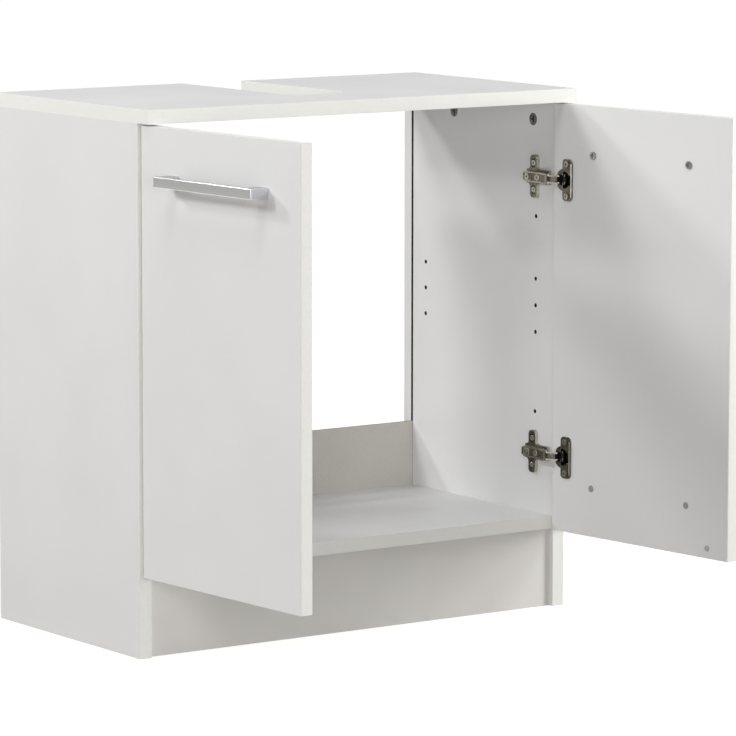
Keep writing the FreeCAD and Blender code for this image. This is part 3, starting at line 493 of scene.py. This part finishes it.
# The handle's rounded rims: the same satin metal, painted lighter as a highlight.
HANDLE_HIGHLIGHT = BrushedMetal(
    "handle_painted_highlight", rgba(232, 233, 236), 0.25,
    metallic=0.9, streak=rgba(222, 223, 227),
)
# The handle's end faces: the same satin metal, painted lighter as lit.
HANDLE_END_LIT = BrushedMetal(
    "satin_handle_end_painted_light", rgba(206, 206, 212), 0.34,
    metallic=0.85, streak=rgba(192, 192, 198),
)
# Nickel in lit and shaded copies: the face painted dark as in shade, the side half lit, the edge a painted
# highlight, the hollow painted shade.
NICKEL_SHADED = PlatedMetal("nickel_face_painted_shade", rgba(104, 99, 87), 0.3, metallic=1.0, patch=rgba(84, 79, 68))
NICKEL_HIGHLIGHT = PlatedMetal("nickel_painted_highlight", rgba(206, 203, 195), 0.24, metallic=1.0, patch=rgba(186, 182, 172))
NICKEL_HALF_LIT = PlatedMetal("nickel_side_painted_half_light", rgba(160, 157, 147), 0.28, metallic=1.0, patch=rgba(140, 136, 126))
NICKEL_HOLLOW_SHADE = PlatedMetal("nickel_hollow_painted_shade", rgba(38, 34, 28), 0.5, metallic=0.7, patch=rgba(26, 23, 19))
SCREW_ZINC = PlatedMetal("screw_zinc", rgba(168, 166, 160), 0.3, metallic=1.0, patch=rgba(140, 138, 131))
# Screw and lock edges carry a painted highlight, and their slots painted shade.
SCREW_HIGHLIGHT = PlatedMetal("screw_edge", rgba(226, 226, 222), 0.2, metallic=1.0, patch=rgba(206, 206, 201))
SCREW_HOLLOW_SHADE = PlatedMetal("screw_hollow_painted_shade", rgba(44, 42, 38), 0.5, metallic=0.6, patch=rgba(30, 29, 26))
# Lock metal, also used as a painted dark ring of shade round the handle screws.
LOCK_METAL_AND_RING_SHADE = PlatedMetal("lock_metal_and_ring_shade", rgba(96, 94, 88), 0.32, metallic=1.0, patch=rgba(66, 64, 58))
LOCK_HIGHLIGHT = PlatedMetal("lock_edge", rgba(176, 175, 170), 0.25, metallic=1.0, patch=rgba(140, 138, 132))
PIN_STEEL = BrushedMetal("pin_steel", rgba(150, 150, 150), 0.3, metallic=1.0, streak=rgba(130, 130, 130))
PLUG_GREY = MouldedPlastic("plug_grey", rgba(150, 150, 149), 0.45)
BUMPER_CLEAR = MouldedPlastic("bumper_soft", rgba(176, 176, 174), 0.3, coat=0.3)
BEECH = TurnedWood("beech", rgba(196, 160, 112), 0.6, pore=rgba(150, 110, 70))


# ------------------------------------------------------------------ making meshes


class Layer(Enum):
    """The finishes of a fitting, by their places in its list of materials."""

    # EDGE carries a painted highlight on rounded edges, and on the handle screws a painted dark ring of
    # shade; HOLLOW carries painted shade in hollows, and on a handle its ends painted lighter; SPECIAL
    # carries the plate's half-lit side walls or the arm's web painted dark as shaded.
    MAIN = 0
    EDGE = 1
    HOLLOW = 2  # on a handle, its ends
    SPECIAL = 3  # the one part of a piece that differs


def only(item: bpy.types.Object) -> None:
    """Select one object alone and make it active.

    Args:
        item: the object.
    """
    bpy.ops.object.select_all(action="DESELECT")
    item.select_set(True)
    bpy.context.view_layer.objects.active = item


def copy_of_node(nodes: dict[str, bpy.types.Object], node: str) -> bpy.types.Object:
    """Return a merged copy of a CAD node, with flat areas joined to single faces.

    Args:
        nodes: the CAD nodes by name.
        node: the one to copy.

    Returns:
        A new object with its own mesh.
    """
    piece = bpy.data.objects.new(f"{node}_finished", nodes[node].data.copy())
    bpy.context.scene.collection.objects.link(piece)
    piece.data.materials.clear()
    only(piece)
    bpy.ops.object.mode_set(mode="EDIT")
    bpy.ops.mesh.select_all(action="SELECT")
    bpy.ops.mesh.remove_doubles(threshold=MERGE_DISTANCE)
    bpy.ops.mesh.dissolve_limited(angle_limit=math.radians(FLAT_WITHIN))
    bpy.ops.object.mode_set(mode="OBJECT")
    return piece


@dataclass(frozen=True)
class Softening:
    """How the hard edges of a piece are rounded."""

    width: float
    segments: int = 2
    shortest: float = 0.0
    sharper_than: float = 30.0

    def apply(self, piece: bpy.types.Object) -> None:
        """Bevel the sharp edges that are long enough, then keep the flat faces flat.

        Args:
            piece: the object; with a second material, that one covers the rounded edges.
        """
        mesh = bmesh.new()
        mesh.from_mesh(piece.data)
        layers = mesh.edges.layers.float
        weight = layers.get(BEVEL_WEIGHT) or layers.new(BEVEL_WEIGHT)
        limit = math.radians(self.sharper_than)
        for edge in mesh.edges:
            sharp = len(edge.link_faces) == 2 and edge.calc_face_angle(0.0) > limit
            edge[weight] = 1.0 if sharp and edge.calc_length() >= self.shortest else 0.0
        mesh.to_mesh(piece.data)
        mesh.free()
        only(piece)
        bevel = piece.modifiers.new("Softened", "BEVEL")
        bevel.width = self.width
        bevel.segments = self.segments
        bevel.limit_method = "WEIGHT"
        bevel.use_clamp_overlap = True
        bevel.material = min(Layer.EDGE.value, len(piece.data.materials) - 1)
        bpy.ops.object.modifier_apply(modifier=bevel.name)
        bpy.ops.object.shade_smooth_by_angle(angle=math.radians(SMOOTH_UNDER))
        level = piece.modifiers.new("Level", "WEIGHTED_NORMAL")
        level.keep_sharp = True
        level.weight = 100
        bpy.ops.object.modifier_apply(modifier=level.name)


@dataclass(frozen=True)
class Hollows:
    """Which faces of a piece count as hollow and get painted shade: those that look mostly at the same
    piece.
    """

    share: float = 0.5
    reach: float = 14 * MM

    def paint_shade(self, piece: bpy.types.Object) -> None:
        """Paint shade on the faces that have enough of their view blocked, with the third finish.

        Args:
            piece: an object with three materials or more.
        """
        mesh = bmesh.new()
        mesh.from_mesh(piece.data)
        tree = BVHTree.FromBMesh(mesh)
        for face in mesh.faces:
            if self.blocked(tree, face) >= self.share * HOLLOW_RAYS:
                face.material_index = Layer.HOLLOW.value
        mesh.to_mesh(piece.data)
        mesh.free()

    def blocked(self, tree: BVHTree, face: bmesh.types.BMFace) -> int:
        """Count the rays from a face that meet the piece again.

        Args:
            tree: the piece, ready for ray tests.
            face: where the rays start.

        Returns:
            How many of the rays are blocked.
        """
        normal = face.normal
        aside = normal.orthogonal().normalized()
        around = normal.cross(aside)
        start = face.calc_center_median() + normal * HOLLOW_LIFT * MM
        count = 0
        for step in range(HOLLOW_RAYS):
            turn = math.tau * step / HOLLOW_RAYS
            lean = HOLLOW_LEANS[step % 2]
            ray = normal + (aside * math.cos(turn) + around * math.sin(turn)) * lean
            count += tree.ray_cast(start, ray.normalized(), self.reach)[0] is not None
        return count


def pick(piece: bpy.types.Object, test: Callable[[bmesh.types.BMFace], bool]) -> int:
    """Enter edit mode on a piece with the faces that pass a test selected.

    Args:
        piece: the object.
        test: what a face has to be.

    Returns:
        How many faces are selected.
    """
    only(piece)
    bpy.ops.object.mode_set(mode="EDIT")
    bpy.ops.mesh.select_mode(type="FACE")
    bpy.ops.mesh.select_all(action="DESELECT")
    mesh = bmesh.from_edit_mesh(piece.data)
    for face in mesh.faces:
        face.select_set(test(face))
    found = sum(face.select for face in mesh.faces)
    bmesh.update_edit_mesh(piece.data)
    return found


def sink(
    piece: bpy.types.Object,
    border: float,
    depth: float,
    test: Callable[[bmesh.types.BMFace], bool],
    finish: Layer,
) -> None:
    """Press the chosen faces inwards and leave a raised border round them.

    Args:
        piece: the object.
        border: the width of the border.
        depth: how far the faces go in.
        test: what a face has to be.
        finish: what covers the pressed faces.
    """
    if pick(piece, test):
        bpy.ops.mesh.inset(thickness=border, depth=0.0, use_even_offset=True)
        bpy.ops.mesh.inset(thickness=SINK_SLOPE * depth, depth=-depth, use_even_offset=True)
        mesh = bmesh.from_edit_mesh(piece.data)
        for face in mesh.faces:
            if face.select:
                face.material_index = finish.value
        bmesh.update_edit_mesh(piece.data)
    bpy.ops.object.mode_set(mode="OBJECT")


def round_edges(
    piece: bpy.types.Object,
    width: float,
    segments: int,
    test: Callable[[bmesh.types.BMEdge], bool],
    shine: int = -1,
) -> None:
    """Bevel the chosen edges in edit mode.

    Args:
        piece: the object.
        width: how far the rounding reaches on each face.
        segments: how many strips it has.
        test: what an edge has to be.
        shine: the material of the rounding, or -1 for that of the faces beside it.
    """
    only(piece)
    bpy.ops.object.mode_set(mode="EDIT")
    bpy.ops.mesh.select_mode(type="EDGE")
    bpy.ops.mesh.select_all(action="DESELECT")
    mesh = bmesh.from_edit_mesh(piece.data)
    for edge in mesh.edges:
        if len(edge.link_faces) == 2 and test(edge):
            edge.select_set(True)
    bmesh.update_edit_mesh(piece.data)
    bpy.ops.mesh.bevel(
        offset=width,
        segments=segments,
        affect="EDGES",
        clamp_overlap=False,
        material=shine,
    )
    bpy.ops.object.mode_set(mode="OBJECT")


class Zone(Enum):
    """What a face of a board is covered with."""

    FACE = 0
    BAND = 1
    CORE = 2
    BORE = 3


class Workshop:
    """Holds the frame, and dresses pieces and seats them on their bodies."""

    def __init__(self, frame: dict[str, object]) -> None:
        """Keep the frame's nodes, and find each node's body and slot.
        """
        self.nodes: dict[str, bpy.types.Object] = frame["nodes"]
        record = frame["record"]
        bodies = record["behaviour"]["bodies"]
        self.body = {node: body for body, members in bodies.items() for node in members}
        self.slot = {entry["node"]: entry["material_slot"] for entry in record["subparts"]}
        self.made = 0

    def seat(self, piece: bpy.types.Object, *nodes: str) -> None:
        """Make a piece stand for its nodes and ride on their body.

        Args:
            piece: the object.
            nodes: the CAD nodes that it replaces, all on one body.
        """
        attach(piece, self.body[nodes[0]])
        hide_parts(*nodes)
        self.made += 1
        log.info("%s rides on %s", piece.name, self.body[nodes[0]])

    def blank(self, node: str, *finishes: Finish) -> bpy.types.Object:
        """Copy a node and give it its finishes, ready to be shaped.

        Args:
            node: the CAD node.
            finishes: its materials, in the order of Layer or Zone.

        Returns:
            The merged copy.
        """
        piece = copy_of_node(self.nodes, node)
        for finish in finishes:
            piece.data.materials.append(finish.material())
        return piece

    def dress(self, node: str, softening: Softening, *finishes: Finish) -> bpy.types.Object:
        """Finish a copy of a CAD node.

        Args:
            node: the CAD node.
            softening: how its edges are rounded.
            finishes: for its faces, its rounded edges and its hollows, the last two where they differ.

        Returns:
            The new piece, seated in place of the node.
        """
        piece = self.blank(node, *finishes)
        softening.apply(piece)
        self.seat(piece, node)
        return piece


# ------------------------------------------------------------------ boards


@dataclass
class Board:
    """A board of foil-faced chipboard with edging."""

    node: str
    shop: Workshop
    face: Finish = WHITE_FOIL
    band: Finish = WHITE_BAND
    core: Finish = BOARD_CORE
    # bore: the walls of drilled holes, painted dark with shade
    bore: Finish = BORE_SHADE_CORE
    rounding: float = 0.4 * MM
    shortest_edge: float = 1.6 * MM
    edge_wrap: float = 2.4 * MM
    raw_rear: bool = True
    flat: float = 0.98  # how squarely a face of a flat side looks through the board
    square: float = 0.9  # how squarely a raw edge looks down or back

    def build(self) -> None:
        """Make the board, with each face covered as the real one is."""
        piece = self.shop.blank(self.node, self.face, self.band, self.core, self.bore)
        Softening(self.rounding, shortest=self.shortest_edge).apply(piece)
        self.cover(piece)
        self.shop.seat(piece, self.node)

    def thin_direction(self, piece: bpy.types.Object) -> Vector:
        """Return the direction through the board: that of its largest faces."""
        largest = max(piece.data.polygons, key=lambda polygon: polygon.area)
        return largest.normal.copy()

    def cover(self, piece: bpy.types.Object) -> None:
        """Sort the faces: flat sides, edges of the full thickness, and cuts into the core.

        Args:
            piece: the board.
        """
        through = self.thin_direction(piece)
        depths = [vertex.co.dot(through) for vertex in piece.data.vertices]
        low, high = min(depths) + self.edge_wrap, max(depths) - self.edge_wrap
        rear = max(vertex.co.y for vertex in piece.data.vertices)
        for polygon in piece.data.polygons:
            inside = [depths[index] for index in polygon.vertices]
            on_side = min(inside) > high or max(inside) < low
            across = min(inside) < low and max(inside) > high
            if on_side and abs(polygon.normal.dot(through)) > self.flat:
                zone = Zone.FACE
            elif across and self.is_raw(polygon, rear):
                zone = Zone.CORE
            elif across or on_side:
                zone = Zone.BAND
            else:
                zone = Zone.BORE
            polygon.material_index = zone.value

    def is_raw(self, polygon: bpy.types.MeshPolygon, rear: float) -> bool:
        """Tell whether an edge face has no edging.

        Args:
            polygon: the face.
            rear: how far back the board reaches.

        Returns:
            Whether it is on the floor, or at the back of a board that is raw there.
        """
        under = polygon.normal.z < -self.square and polygon.center.z < self.edge_wrap
        behind = polygon.normal.y > self.square and polygon.center.y > rear - self.edge_wrap
        return under or (self.raw_rear and behind)


@dataclass
class BackRail(Board):
    """The hardboard strip: white to the front, raw at the back."""

    frontal: float = 0.5  # how far the normal of a white face leans to the front

    def cover(self, piece: bpy.types.Object) -> None:
        """Put the white face to the front and the raw face to the back and edges.

        Args:
            piece: the strip.
        """
        for polygon in piece.data.polygons:
            zone = Zone.FACE if polygon.normal.y < -self.frontal else Zone.CORE
            polygon.material_index = zone.value


@dataclass
class Carcass:
    """Side panels, top, bottom, plinth, back rail and what joins them."""

    shop: Workshop
    boards: tuple[str, ...] = ("side_panel_left", "side_panel_right", "bottom_panel")
    rail_rounding: float = 0.2 * MM
    lock_edges: Softening = Softening(0.25 * MM)
    dowel_edges: Softening = Softening(0.8 * MM)
    slots: Hollows = Hollows(0.4)

    def build(self) -> None:
        """Make every board and the hidden joints."""
        for node in self.boards:
            Board(node, self.shop).build()
        Board("top_panel", self.shop, face=TOP_FOIL).build()
        Board("plinth", self.shop, face=PLINTH_FOIL).build()
        BackRail(
            "back_rail", self.shop, face=RAIL_FACE, core=RAIL_BACK, rounding=self.rail_rounding
        ).build()
        dress = self.shop.dress
        # The locks' rounded edges get a painted highlight and their slots painted shade; the bolts' edges
        # get a painted highlight.
        locks = dress("cam_locks", self.lock_edges, LOCK_METAL_AND_RING_SHADE, LOCK_HIGHLIGHT, SCREW_HOLLOW_SHADE)
        self.slots.paint_shade(locks)
        dress("cam_bolts", self.lock_edges, SCREW_ZINC, SCREW_HIGHLIGHT)
        dress("dowels", self.dowel_edges, BEECH)


# ------------------------------------------------------------------ doors


@dataclass
class Door:
    """One door with its handle and small fittings."""

    side: str
    shop: Workshop
    handle_rounding: float = 0.8 * MM
    rounding_strips: int = 3
    endways: float = 0.8  # how far the normal of an end face leans along the handle
    level: float = 0.9  # how squarely the top and bottom of the handle look up or down
    screw_edges: Softening = Softening(0.5 * MM)
    plug_edges: Softening = Softening(0.4 * MM, 3)
    bumper_edges: Softening = Softening(0.7 * MM, 4)
    slots: Hollows = Hollows(0.4)

    def build(self) -> None:
        """Make the door board, handle, screws, plugs and bumper."""
        side, dress = self.side, self.shop.dress
        Board(f"door_{side}", self.shop, raw_rear=False).build()
        self.make_handle()
        # The handle screws get a painted dark ring of shade on their rounded rims, and painted shade in
        # their slots.
        finishes = (SCREW_ZINC, LOCK_METAL_AND_RING_SHADE, SCREW_HOLLOW_SHADE)
        self.slots.paint_shade(dress(f"handle_screws_{side}", self.screw_edges, *finishes))
        dress(f"door_plugs_{side}", self.plug_edges, PLUG_GREY)
        dress(f"door_bumper_{side}", self.bumper_edges, BUMPER_CLEAR)

    def make_handle(self) -> None:
        """Finish the flat bow handle: round its rims with a painted highlight on the rounding, and paint
        its ends lighter, as lit.
        """
        node = f"handle_{self.side}"
        handle = self.shop.blank(node, HANDLE_METAL, HANDLE_HIGHLIGHT, HANDLE_END_LIT)
        along = self.long_direction(handle)
        round_edges(
            handle, self.handle_rounding, self.rounding_strips, self.is_rim, shine=Layer.EDGE.value
        )
        # The end faces get the satin painted lighter, as lit.
        for polygon in handle.data.polygons:
            plain = polygon.material_index == Layer.MAIN.value
            if plain and abs(polygon.normal.dot(along)) > self.endways:
                polygon.material_index = Layer.HOLLOW.value
        self.shop.seat(handle, node)
        only(handle)
        bpy.ops.object.shade_smooth_by_angle(angle=math.radians(SMOOTH_UNDER))

    @staticmethod
    def long_direction(handle: bpy.types.Object) -> Vector:
        """Find the level direction from the handle's middle to its furthest corner.

        Args:
            handle: the handle.

        Returns:
            A unit vector, near enough along the handle.
        """
        corners = [vertex.co for vertex in handle.data.vertices]
        middle = sum(corners, Vector()) / len(corners)
        along = max(corners, key=lambda corner: (corner - middle).length) - middle
        return Vector((along.x, along.y, 0.0)).normalized()

    def is_rim(self, edge: bmesh.types.BMEdge) -> bool:
        """Tell whether an edge bounds the top or the bottom of the handle."""
        level = [abs(face.normal.z) > self.level for face in edge.link_faces]
        return level[0] != level[1] and edge.calc_face_angle(0.0) > CORNER_TURN


# ------------------------------------------------------------------ hinges


@dataclass
class Hinge:
    """One cup hinge: plate, arm, links, pins and cup."""

    tag: str
    shop: Workshop
    web_border: float = 1.5 * MM
    web_sink: float = 0.5 * MM
    web_area: float = 4e-6  # square metres that a face of the web has at least
    web_depth: float = 5.0 * MM  # how far behind the foremost point a web may lie
    web_facing: float = 0.7  # how far the normal of a web leans to the cabinet's middle
    wing_fillet: float = 4.0 * MM
    fillet_strips: int = 5
    fillet_edge: float = 3.0 * MM  # the shortest edge that gets a fillet
    upright: float = 0.99  # how squarely such an edge runs along X
    wall_lean: float = 0.5  # below this lean to X, a face is a side wall of the plate
    # Side walls leaning further to the front than this get the painted highlight.
    front_lean: float = 0.6  # beyond this lean to the front, a side wall shines
    # How far from its end in the cup the inner link is painted with shade.
    painted_shade_end: float = 5.0 * MM
    flange_rim: float = 1.1 * MM
    cast: Softening = Softening(0.5 * MM)
    pressed: Softening = Softening(0.35 * MM)
    stamped: Softening = Softening(0.2 * MM)
    plate_hollows: Hollows = Hollows(0.5, 9 * MM)
    arm_hollows: Hollows = Hollows(0.7, 12 * MM)
    cup_hollows: Hollows = Hollows(0.5, 24 * MM)

    @property
    def inward(self) -> float:
        """The way along X that the hinge faces: to the middle of the cabinet."""
        return 1.0 if self.tag.startswith("left") else -1.0

    def build(self) -> None:
        """Make the seven pieces of the hinge."""
        self.make_plate()
        self.make_arm()
        self.make_cup()
        dress = self.shop.dress
        # The outer link is all in the painted-highlight nickel.
        dress(f"outer_link_{self.tag}", self.stamped, NICKEL_HIGHLIGHT, NICKEL_HIGHLIGHT)
        self.make_inner_link()
        dress(f"arm_pins_{self.tag}", self.stamped, PIN_STEEL)
        dress(f"cup_pins_{self.tag}", self.stamped, PIN_STEEL)

    def make_plate(self) -> None:
        """Round the plate, in nickel painted dark as shaded; paint shade into its hollows and its side
        walls lighter, as lit, with the painted highlight on those to the front.
        """
        node = f"hinge_plate_{self.tag}"
        plate = self.shop.blank(node, NICKEL_SHADED, NICKEL_HIGHLIGHT, NICKEL_HOLLOW_SHADE, NICKEL_HALF_LIT)
        round_edges(plate, self.wing_fillet, self.fillet_strips, self.is_inner_corner)
        self.cast.apply(plate)
        self.plate_hollows.paint_shade(plate)
        # Side walls by their direction in the cabinet: painted highlight to the front, painted half light
        # elsewhere.
        for polygon in plate.data.polygons:
            plain = polygon.material_index == Layer.MAIN.value
            if plain and abs(polygon.normal.x) < self.wall_lean:
                to_front = polygon.normal.y < -self.front_lean
                layer = Layer.EDGE if to_front else Layer.SPECIAL
                polygon.material_index = layer.value
        self.shop.seat(plate, node)

    def is_inner_corner(self, edge: bmesh.types.BMEdge) -> bool:
        """Tell whether an edge is where a wing meets the foot of the plate.

        Args:
            edge: an edge of the plate.

        Returns:
            Whether it is a long enough hollow corner through the plate's thickness.
        """
        first, second = (vertex.co for vertex in edge.verts)
        along = (second - first).normalized()
        hollow = not edge.is_convex and edge.calc_face_angle(0.0) > CORNER_TURN
        return abs(along.x) > self.upright and hollow and edge.calc_length() > self.fillet_edge

    def make_arm(self) -> None:
        """Press the web of the arm in, so that its long edges stand up as rims; paint the pressed web dark
        as shaded, the rest half lit, the rounded edges with a highlight and the hollows with shade.
        """
        node = f"hinge_arm_{self.tag}"
        arm = self.shop.blank(node, NICKEL_HALF_LIT, NICKEL_HIGHLIGHT, NICKEL_HOLLOW_SHADE, NICKEL_SHADED)
        outermost = max(vertex.co.x * self.inward for vertex in arm.data.vertices)

        def is_web(face: bmesh.types.BMFace) -> bool:
            """Tell whether a face is one of the arm's broad faces to the cabinet's middle.

            Args:
                face: a face of the arm.

            Returns:
                Whether it looks that way, is large and lies near the foremost point.
            """
            facing = face.normal.x * self.inward > self.web_facing
            level = face.calc_center_median().x * self.inward
            return facing and face.calc_area() > self.web_area and level > outermost - self.web_depth

        sink(arm, self.web_border, self.web_sink, is_web, Layer.SPECIAL)
        self.pressed.apply(arm)
        self.arm_hollows.paint_shade(arm)
        self.shop.seat(arm, node)

    def make_inner_link(self) -> None:
        """Dress the inner link in half-lit painted nickel with a painted highlight on its rounded edges,
        and paint shade on it from its bend to its end in the cup.
        """
        finishes = (NICKEL_HALF_LIT, NICKEL_HIGHLIGHT, NICKEL_HOLLOW_SHADE)
        link = self.shop.dress(f"inner_link_{self.tag}", self.stamped, *finishes)
        heel = min(vertex.co.y for vertex in link.data.vertices) + self.painted_shade_end
        for polygon in link.data.polygons:
            if polygon.center.y < heel:
                polygon.material_index = Layer.HOLLOW.value

    def make_cup(self) -> None:
        """Paint the cup's nickel dark as shaded, shade into its inside and a highlight onto the raised rim
        of its flange.
        """
        node = f"hinge_cup_{self.tag}"
        cup = self.shop.blank(node, NICKEL_SHADED, NICKEL_HIGHLIGHT, NICKEL_HOLLOW_SHADE)
        face = max(cup.data.polygons, key=lambda polygon: polygon.area).normal.copy()
        if face.x * self.inward < 0:
            face.negate()
        highest = max(vertex.co.dot(face) for vertex in cup.data.vertices)
        self.stamped.apply(cup)
        self.cup_hollows.paint_shade(cup)
        # Faces of the flange's raised rim get the painted highlight.
        for polygon in cup.data.polygons:
            if polygon.center.dot(face) > highest - self.flange_rim:
                polygon.material_index = Layer.EDGE.value
        self.shop.seat(cup, node)


@dataclass
class HingeScrews:
    """All the screws of the hinges."""

    shop: Workshop
    nodes: tuple[str, ...] = (
        "plate_screws",
        "arm_fixing_screws",
        "side_adjusting_screws",
        "cup_screws_left",
        "cup_screws_right",
    )

    edges: Softening = Softening(0.3 * MM)
    slots: Hollows = Hollows()

    def build(self) -> None:
        """Make the screws with softened heads, a painted highlight on their rounded edges and painted shade
        in their crossed slots.
        """
        for node in self.nodes:
            screws = self.shop.dress(node, self.edges, SCREW_ZINC, SCREW_HIGHLIGHT, SCREW_HOLLOW_SHADE)
            self.slots.paint_shade(screws)


# ------------------------------------------------------------------ studio


@dataclass(frozen=True)
class Lamp:
    """A soft square lamp that looks at the cabinet, placed by its bearing.

    The bearing is 0 in front of the cabinet, 90 at its left and 180 behind it.
    """

    name: str
    bearing: float
    height: float
    size: float
    power: float
    distance: float = 3.5
    aim: tuple[float, float, float] = (0.0, -0.1, 0.35)

    def build(self) -> None:
        """Add the lamp."""
        data = bpy.data.lights.new(self.name, "AREA")
        data.shape = "SQUARE"
        data.size = self.size
        data.energy = self.power
        item = bpy.data.objects.new(self.name, data)
        bpy.context.scene.collection.objects.link(item)
        bearing, height = math.radians(self.bearing), math.radians(self.height)
        level = math.cos(height)
        way = Vector((-math.sin(bearing) * level, -math.cos(bearing) * level, math.sin(height)))
        item.location = Vector(self.aim) + way * self.distance
        item.rotation_euler = (-way).to_track_quat("-Z", "Y").to_euler()
        item.visible_camera = False


@dataclass(frozen=True)
class Viewpoint:
    """The camera, solved from the photograph's edges."""

    place: tuple[float, float, float] = (-3.0689, -4.417, 1.0244)
    yaw: float = 34.996
    tilt: float = 7.589
    roll: float = 0.067
    lens: float = 229.1
    sensor: float = 36.0
    furthest: float = 50.0

    def build(self) -> None:
        """Add the camera and make it the scene's own."""
        data = bpy.data.cameras.new("Photo_view")
        data.lens = self.lens
        data.sensor_width = self.sensor
        data.clip_end = self.furthest
        item = bpy.data.objects.new("Photo_view", data)
        bpy.context.scene.collection.objects.link(item)
        yaw, tilt, roll = (math.radians(angle) for angle in (self.yaw, self.tilt, self.roll))
        level = math.cos(tilt)
        ahead = Vector((math.sin(yaw) * level, math.cos(yaw) * level, -math.sin(tilt)))
        across = Vector((math.cos(yaw), -math.sin(yaw), 0.0))
        up = across.cross(ahead)
        rolled_across = across * math.cos(roll) + up * math.sin(roll)
        rolled_up = up * math.cos(roll) - across * math.sin(roll)
        turned = Matrix((rolled_across, rolled_up, -ahead)).transposed()
        item.matrix_world = Matrix.Translation(self.place) @ turned.to_4x4()
        bpy.context.scene.camera = item


@dataclass
class Studio:
    """A pale floor, a white surround, soft lamps and the camera."""

    floor_reach: float = 60.0
    floor_glow: tuple[float, float] = (0.8, 1.0)
    glow_reach: tuple[float, float] = (0.9, 2.4)
    floor_colour: tuple[float, float, float, float] = (0.4, 0.38, 0.355, 1.0)
    surround: float = 0.06
    lamps: tuple[Lamp, ...] = (
        Lamp("Left_rear_high", 110, 28, 0.6, 38.0),
        Lamp("Rear_high", 138, 30, 0.4, 30.0),
        Lamp("Left_top", 60, 65, 1.2, 30.0),
        Lamp("Front_low", 30, 8, 1.2, 37.0),
        Lamp("Right_low", -60, 8, 1.2, 57.0),
        Lamp("Right_high", -60, 35, 1.2, 45.0),
    )
    camera: Viewpoint = field(default_factory=Viewpoint)

    def build(self) -> None:
        """Make the surroundings."""
        self.make_floor()
        self.make_surround()
        for lamp in self.lamps:
            lamp.build()
        self.camera.build()
        bpy.context.scene.view_settings.view_transform = "Standard"

    def seen_directly(self, craft: NodeCraft) -> Signal:
        """Tell the rays that show the surroundings from those that light the cabinet.

        Args:
            craft: adds the nodes.

        Returns:
            1 from the camera, in gloss and through glass, and otherwise 0.
        """
        camera = craft.add("ShaderNodeLightPath", output="Is Camera Ray")
        gloss = craft.add("ShaderNodeLightPath", output="Is Glossy Ray")
        through = craft.add("ShaderNodeLightPath", output="Is Transmission Ray")
        return craft.band(camera + gloss + through, 0.0, 1.0)

    def make_floor(self) -> None:
        """Add the floor: white where nothing shades it, with the object's soft shadow."""
        bpy.ops.object.select_all(action="DESELECT")
        bpy.ops.mesh.primitive_plane_add(size=self.floor_reach, location=(0, 0, 0))
        floor = bpy.context.active_object
        floor.name = "Floor"
        material = bpy.data.materials.new("Floor_white")
        material.use_nodes = True
        craft = NodeCraft(material.node_tree)
        matt = craft.add("ShaderNodeBsdfDiffuse", inputs={"Color": self.floor_colour})
        length = {"operation": "LENGTH"}
        distance = craft.add("ShaderNodeVectorMath", length, {0: craft.place()}, output=1)
        reached = craft.band(distance, *self.glow_reach, *self.floor_glow)
        strength = self.seen_directly(craft) * reached
        glow = craft.add("ShaderNodeEmission", inputs={"Color": WHITE, "Strength": strength})
        both = craft.add("ShaderNodeAddShader", inputs={0: matt, 1: glow})
        craft.add("ShaderNodeOutputMaterial", inputs={"Surface": both})
        floor.data.materials.append(material)

    def make_surround(self) -> None:
        """Set the world: white where it is seen, a plain grey light elsewhere."""
        world = bpy.data.worlds.new("Surround")
        world.use_nodes = True
        bpy.context.scene.world = world
        craft = NodeCraft(world.node_tree)
        seen = self.seen_directly(craft)
        strength = seen + (1 - seen) * self.surround
        light = craft.add("ShaderNodeBackground", inputs={"Color": WHITE, "Strength": strength})
        craft.add("ShaderNodeOutputWorld", inputs={"Surface": light})


def main() -> None:
    """Load the frame, make every piece in order, and log how many pieces were made."""
    logging.basicConfig(level=logging.INFO, format="%(message)s")
    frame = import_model()
    shop = Workshop(frame)
    Studio().build()
    Carcass(shop).build()
    for side in SIDES:
        Door(side, shop).build()
        for level in LEVELS:
            Hinge(f"{side}_{level}", shop).build()
    HingeScrews(shop).build()
    log.info("%d pieces made", shop.made)


if __name__ == "__main__":
    main()
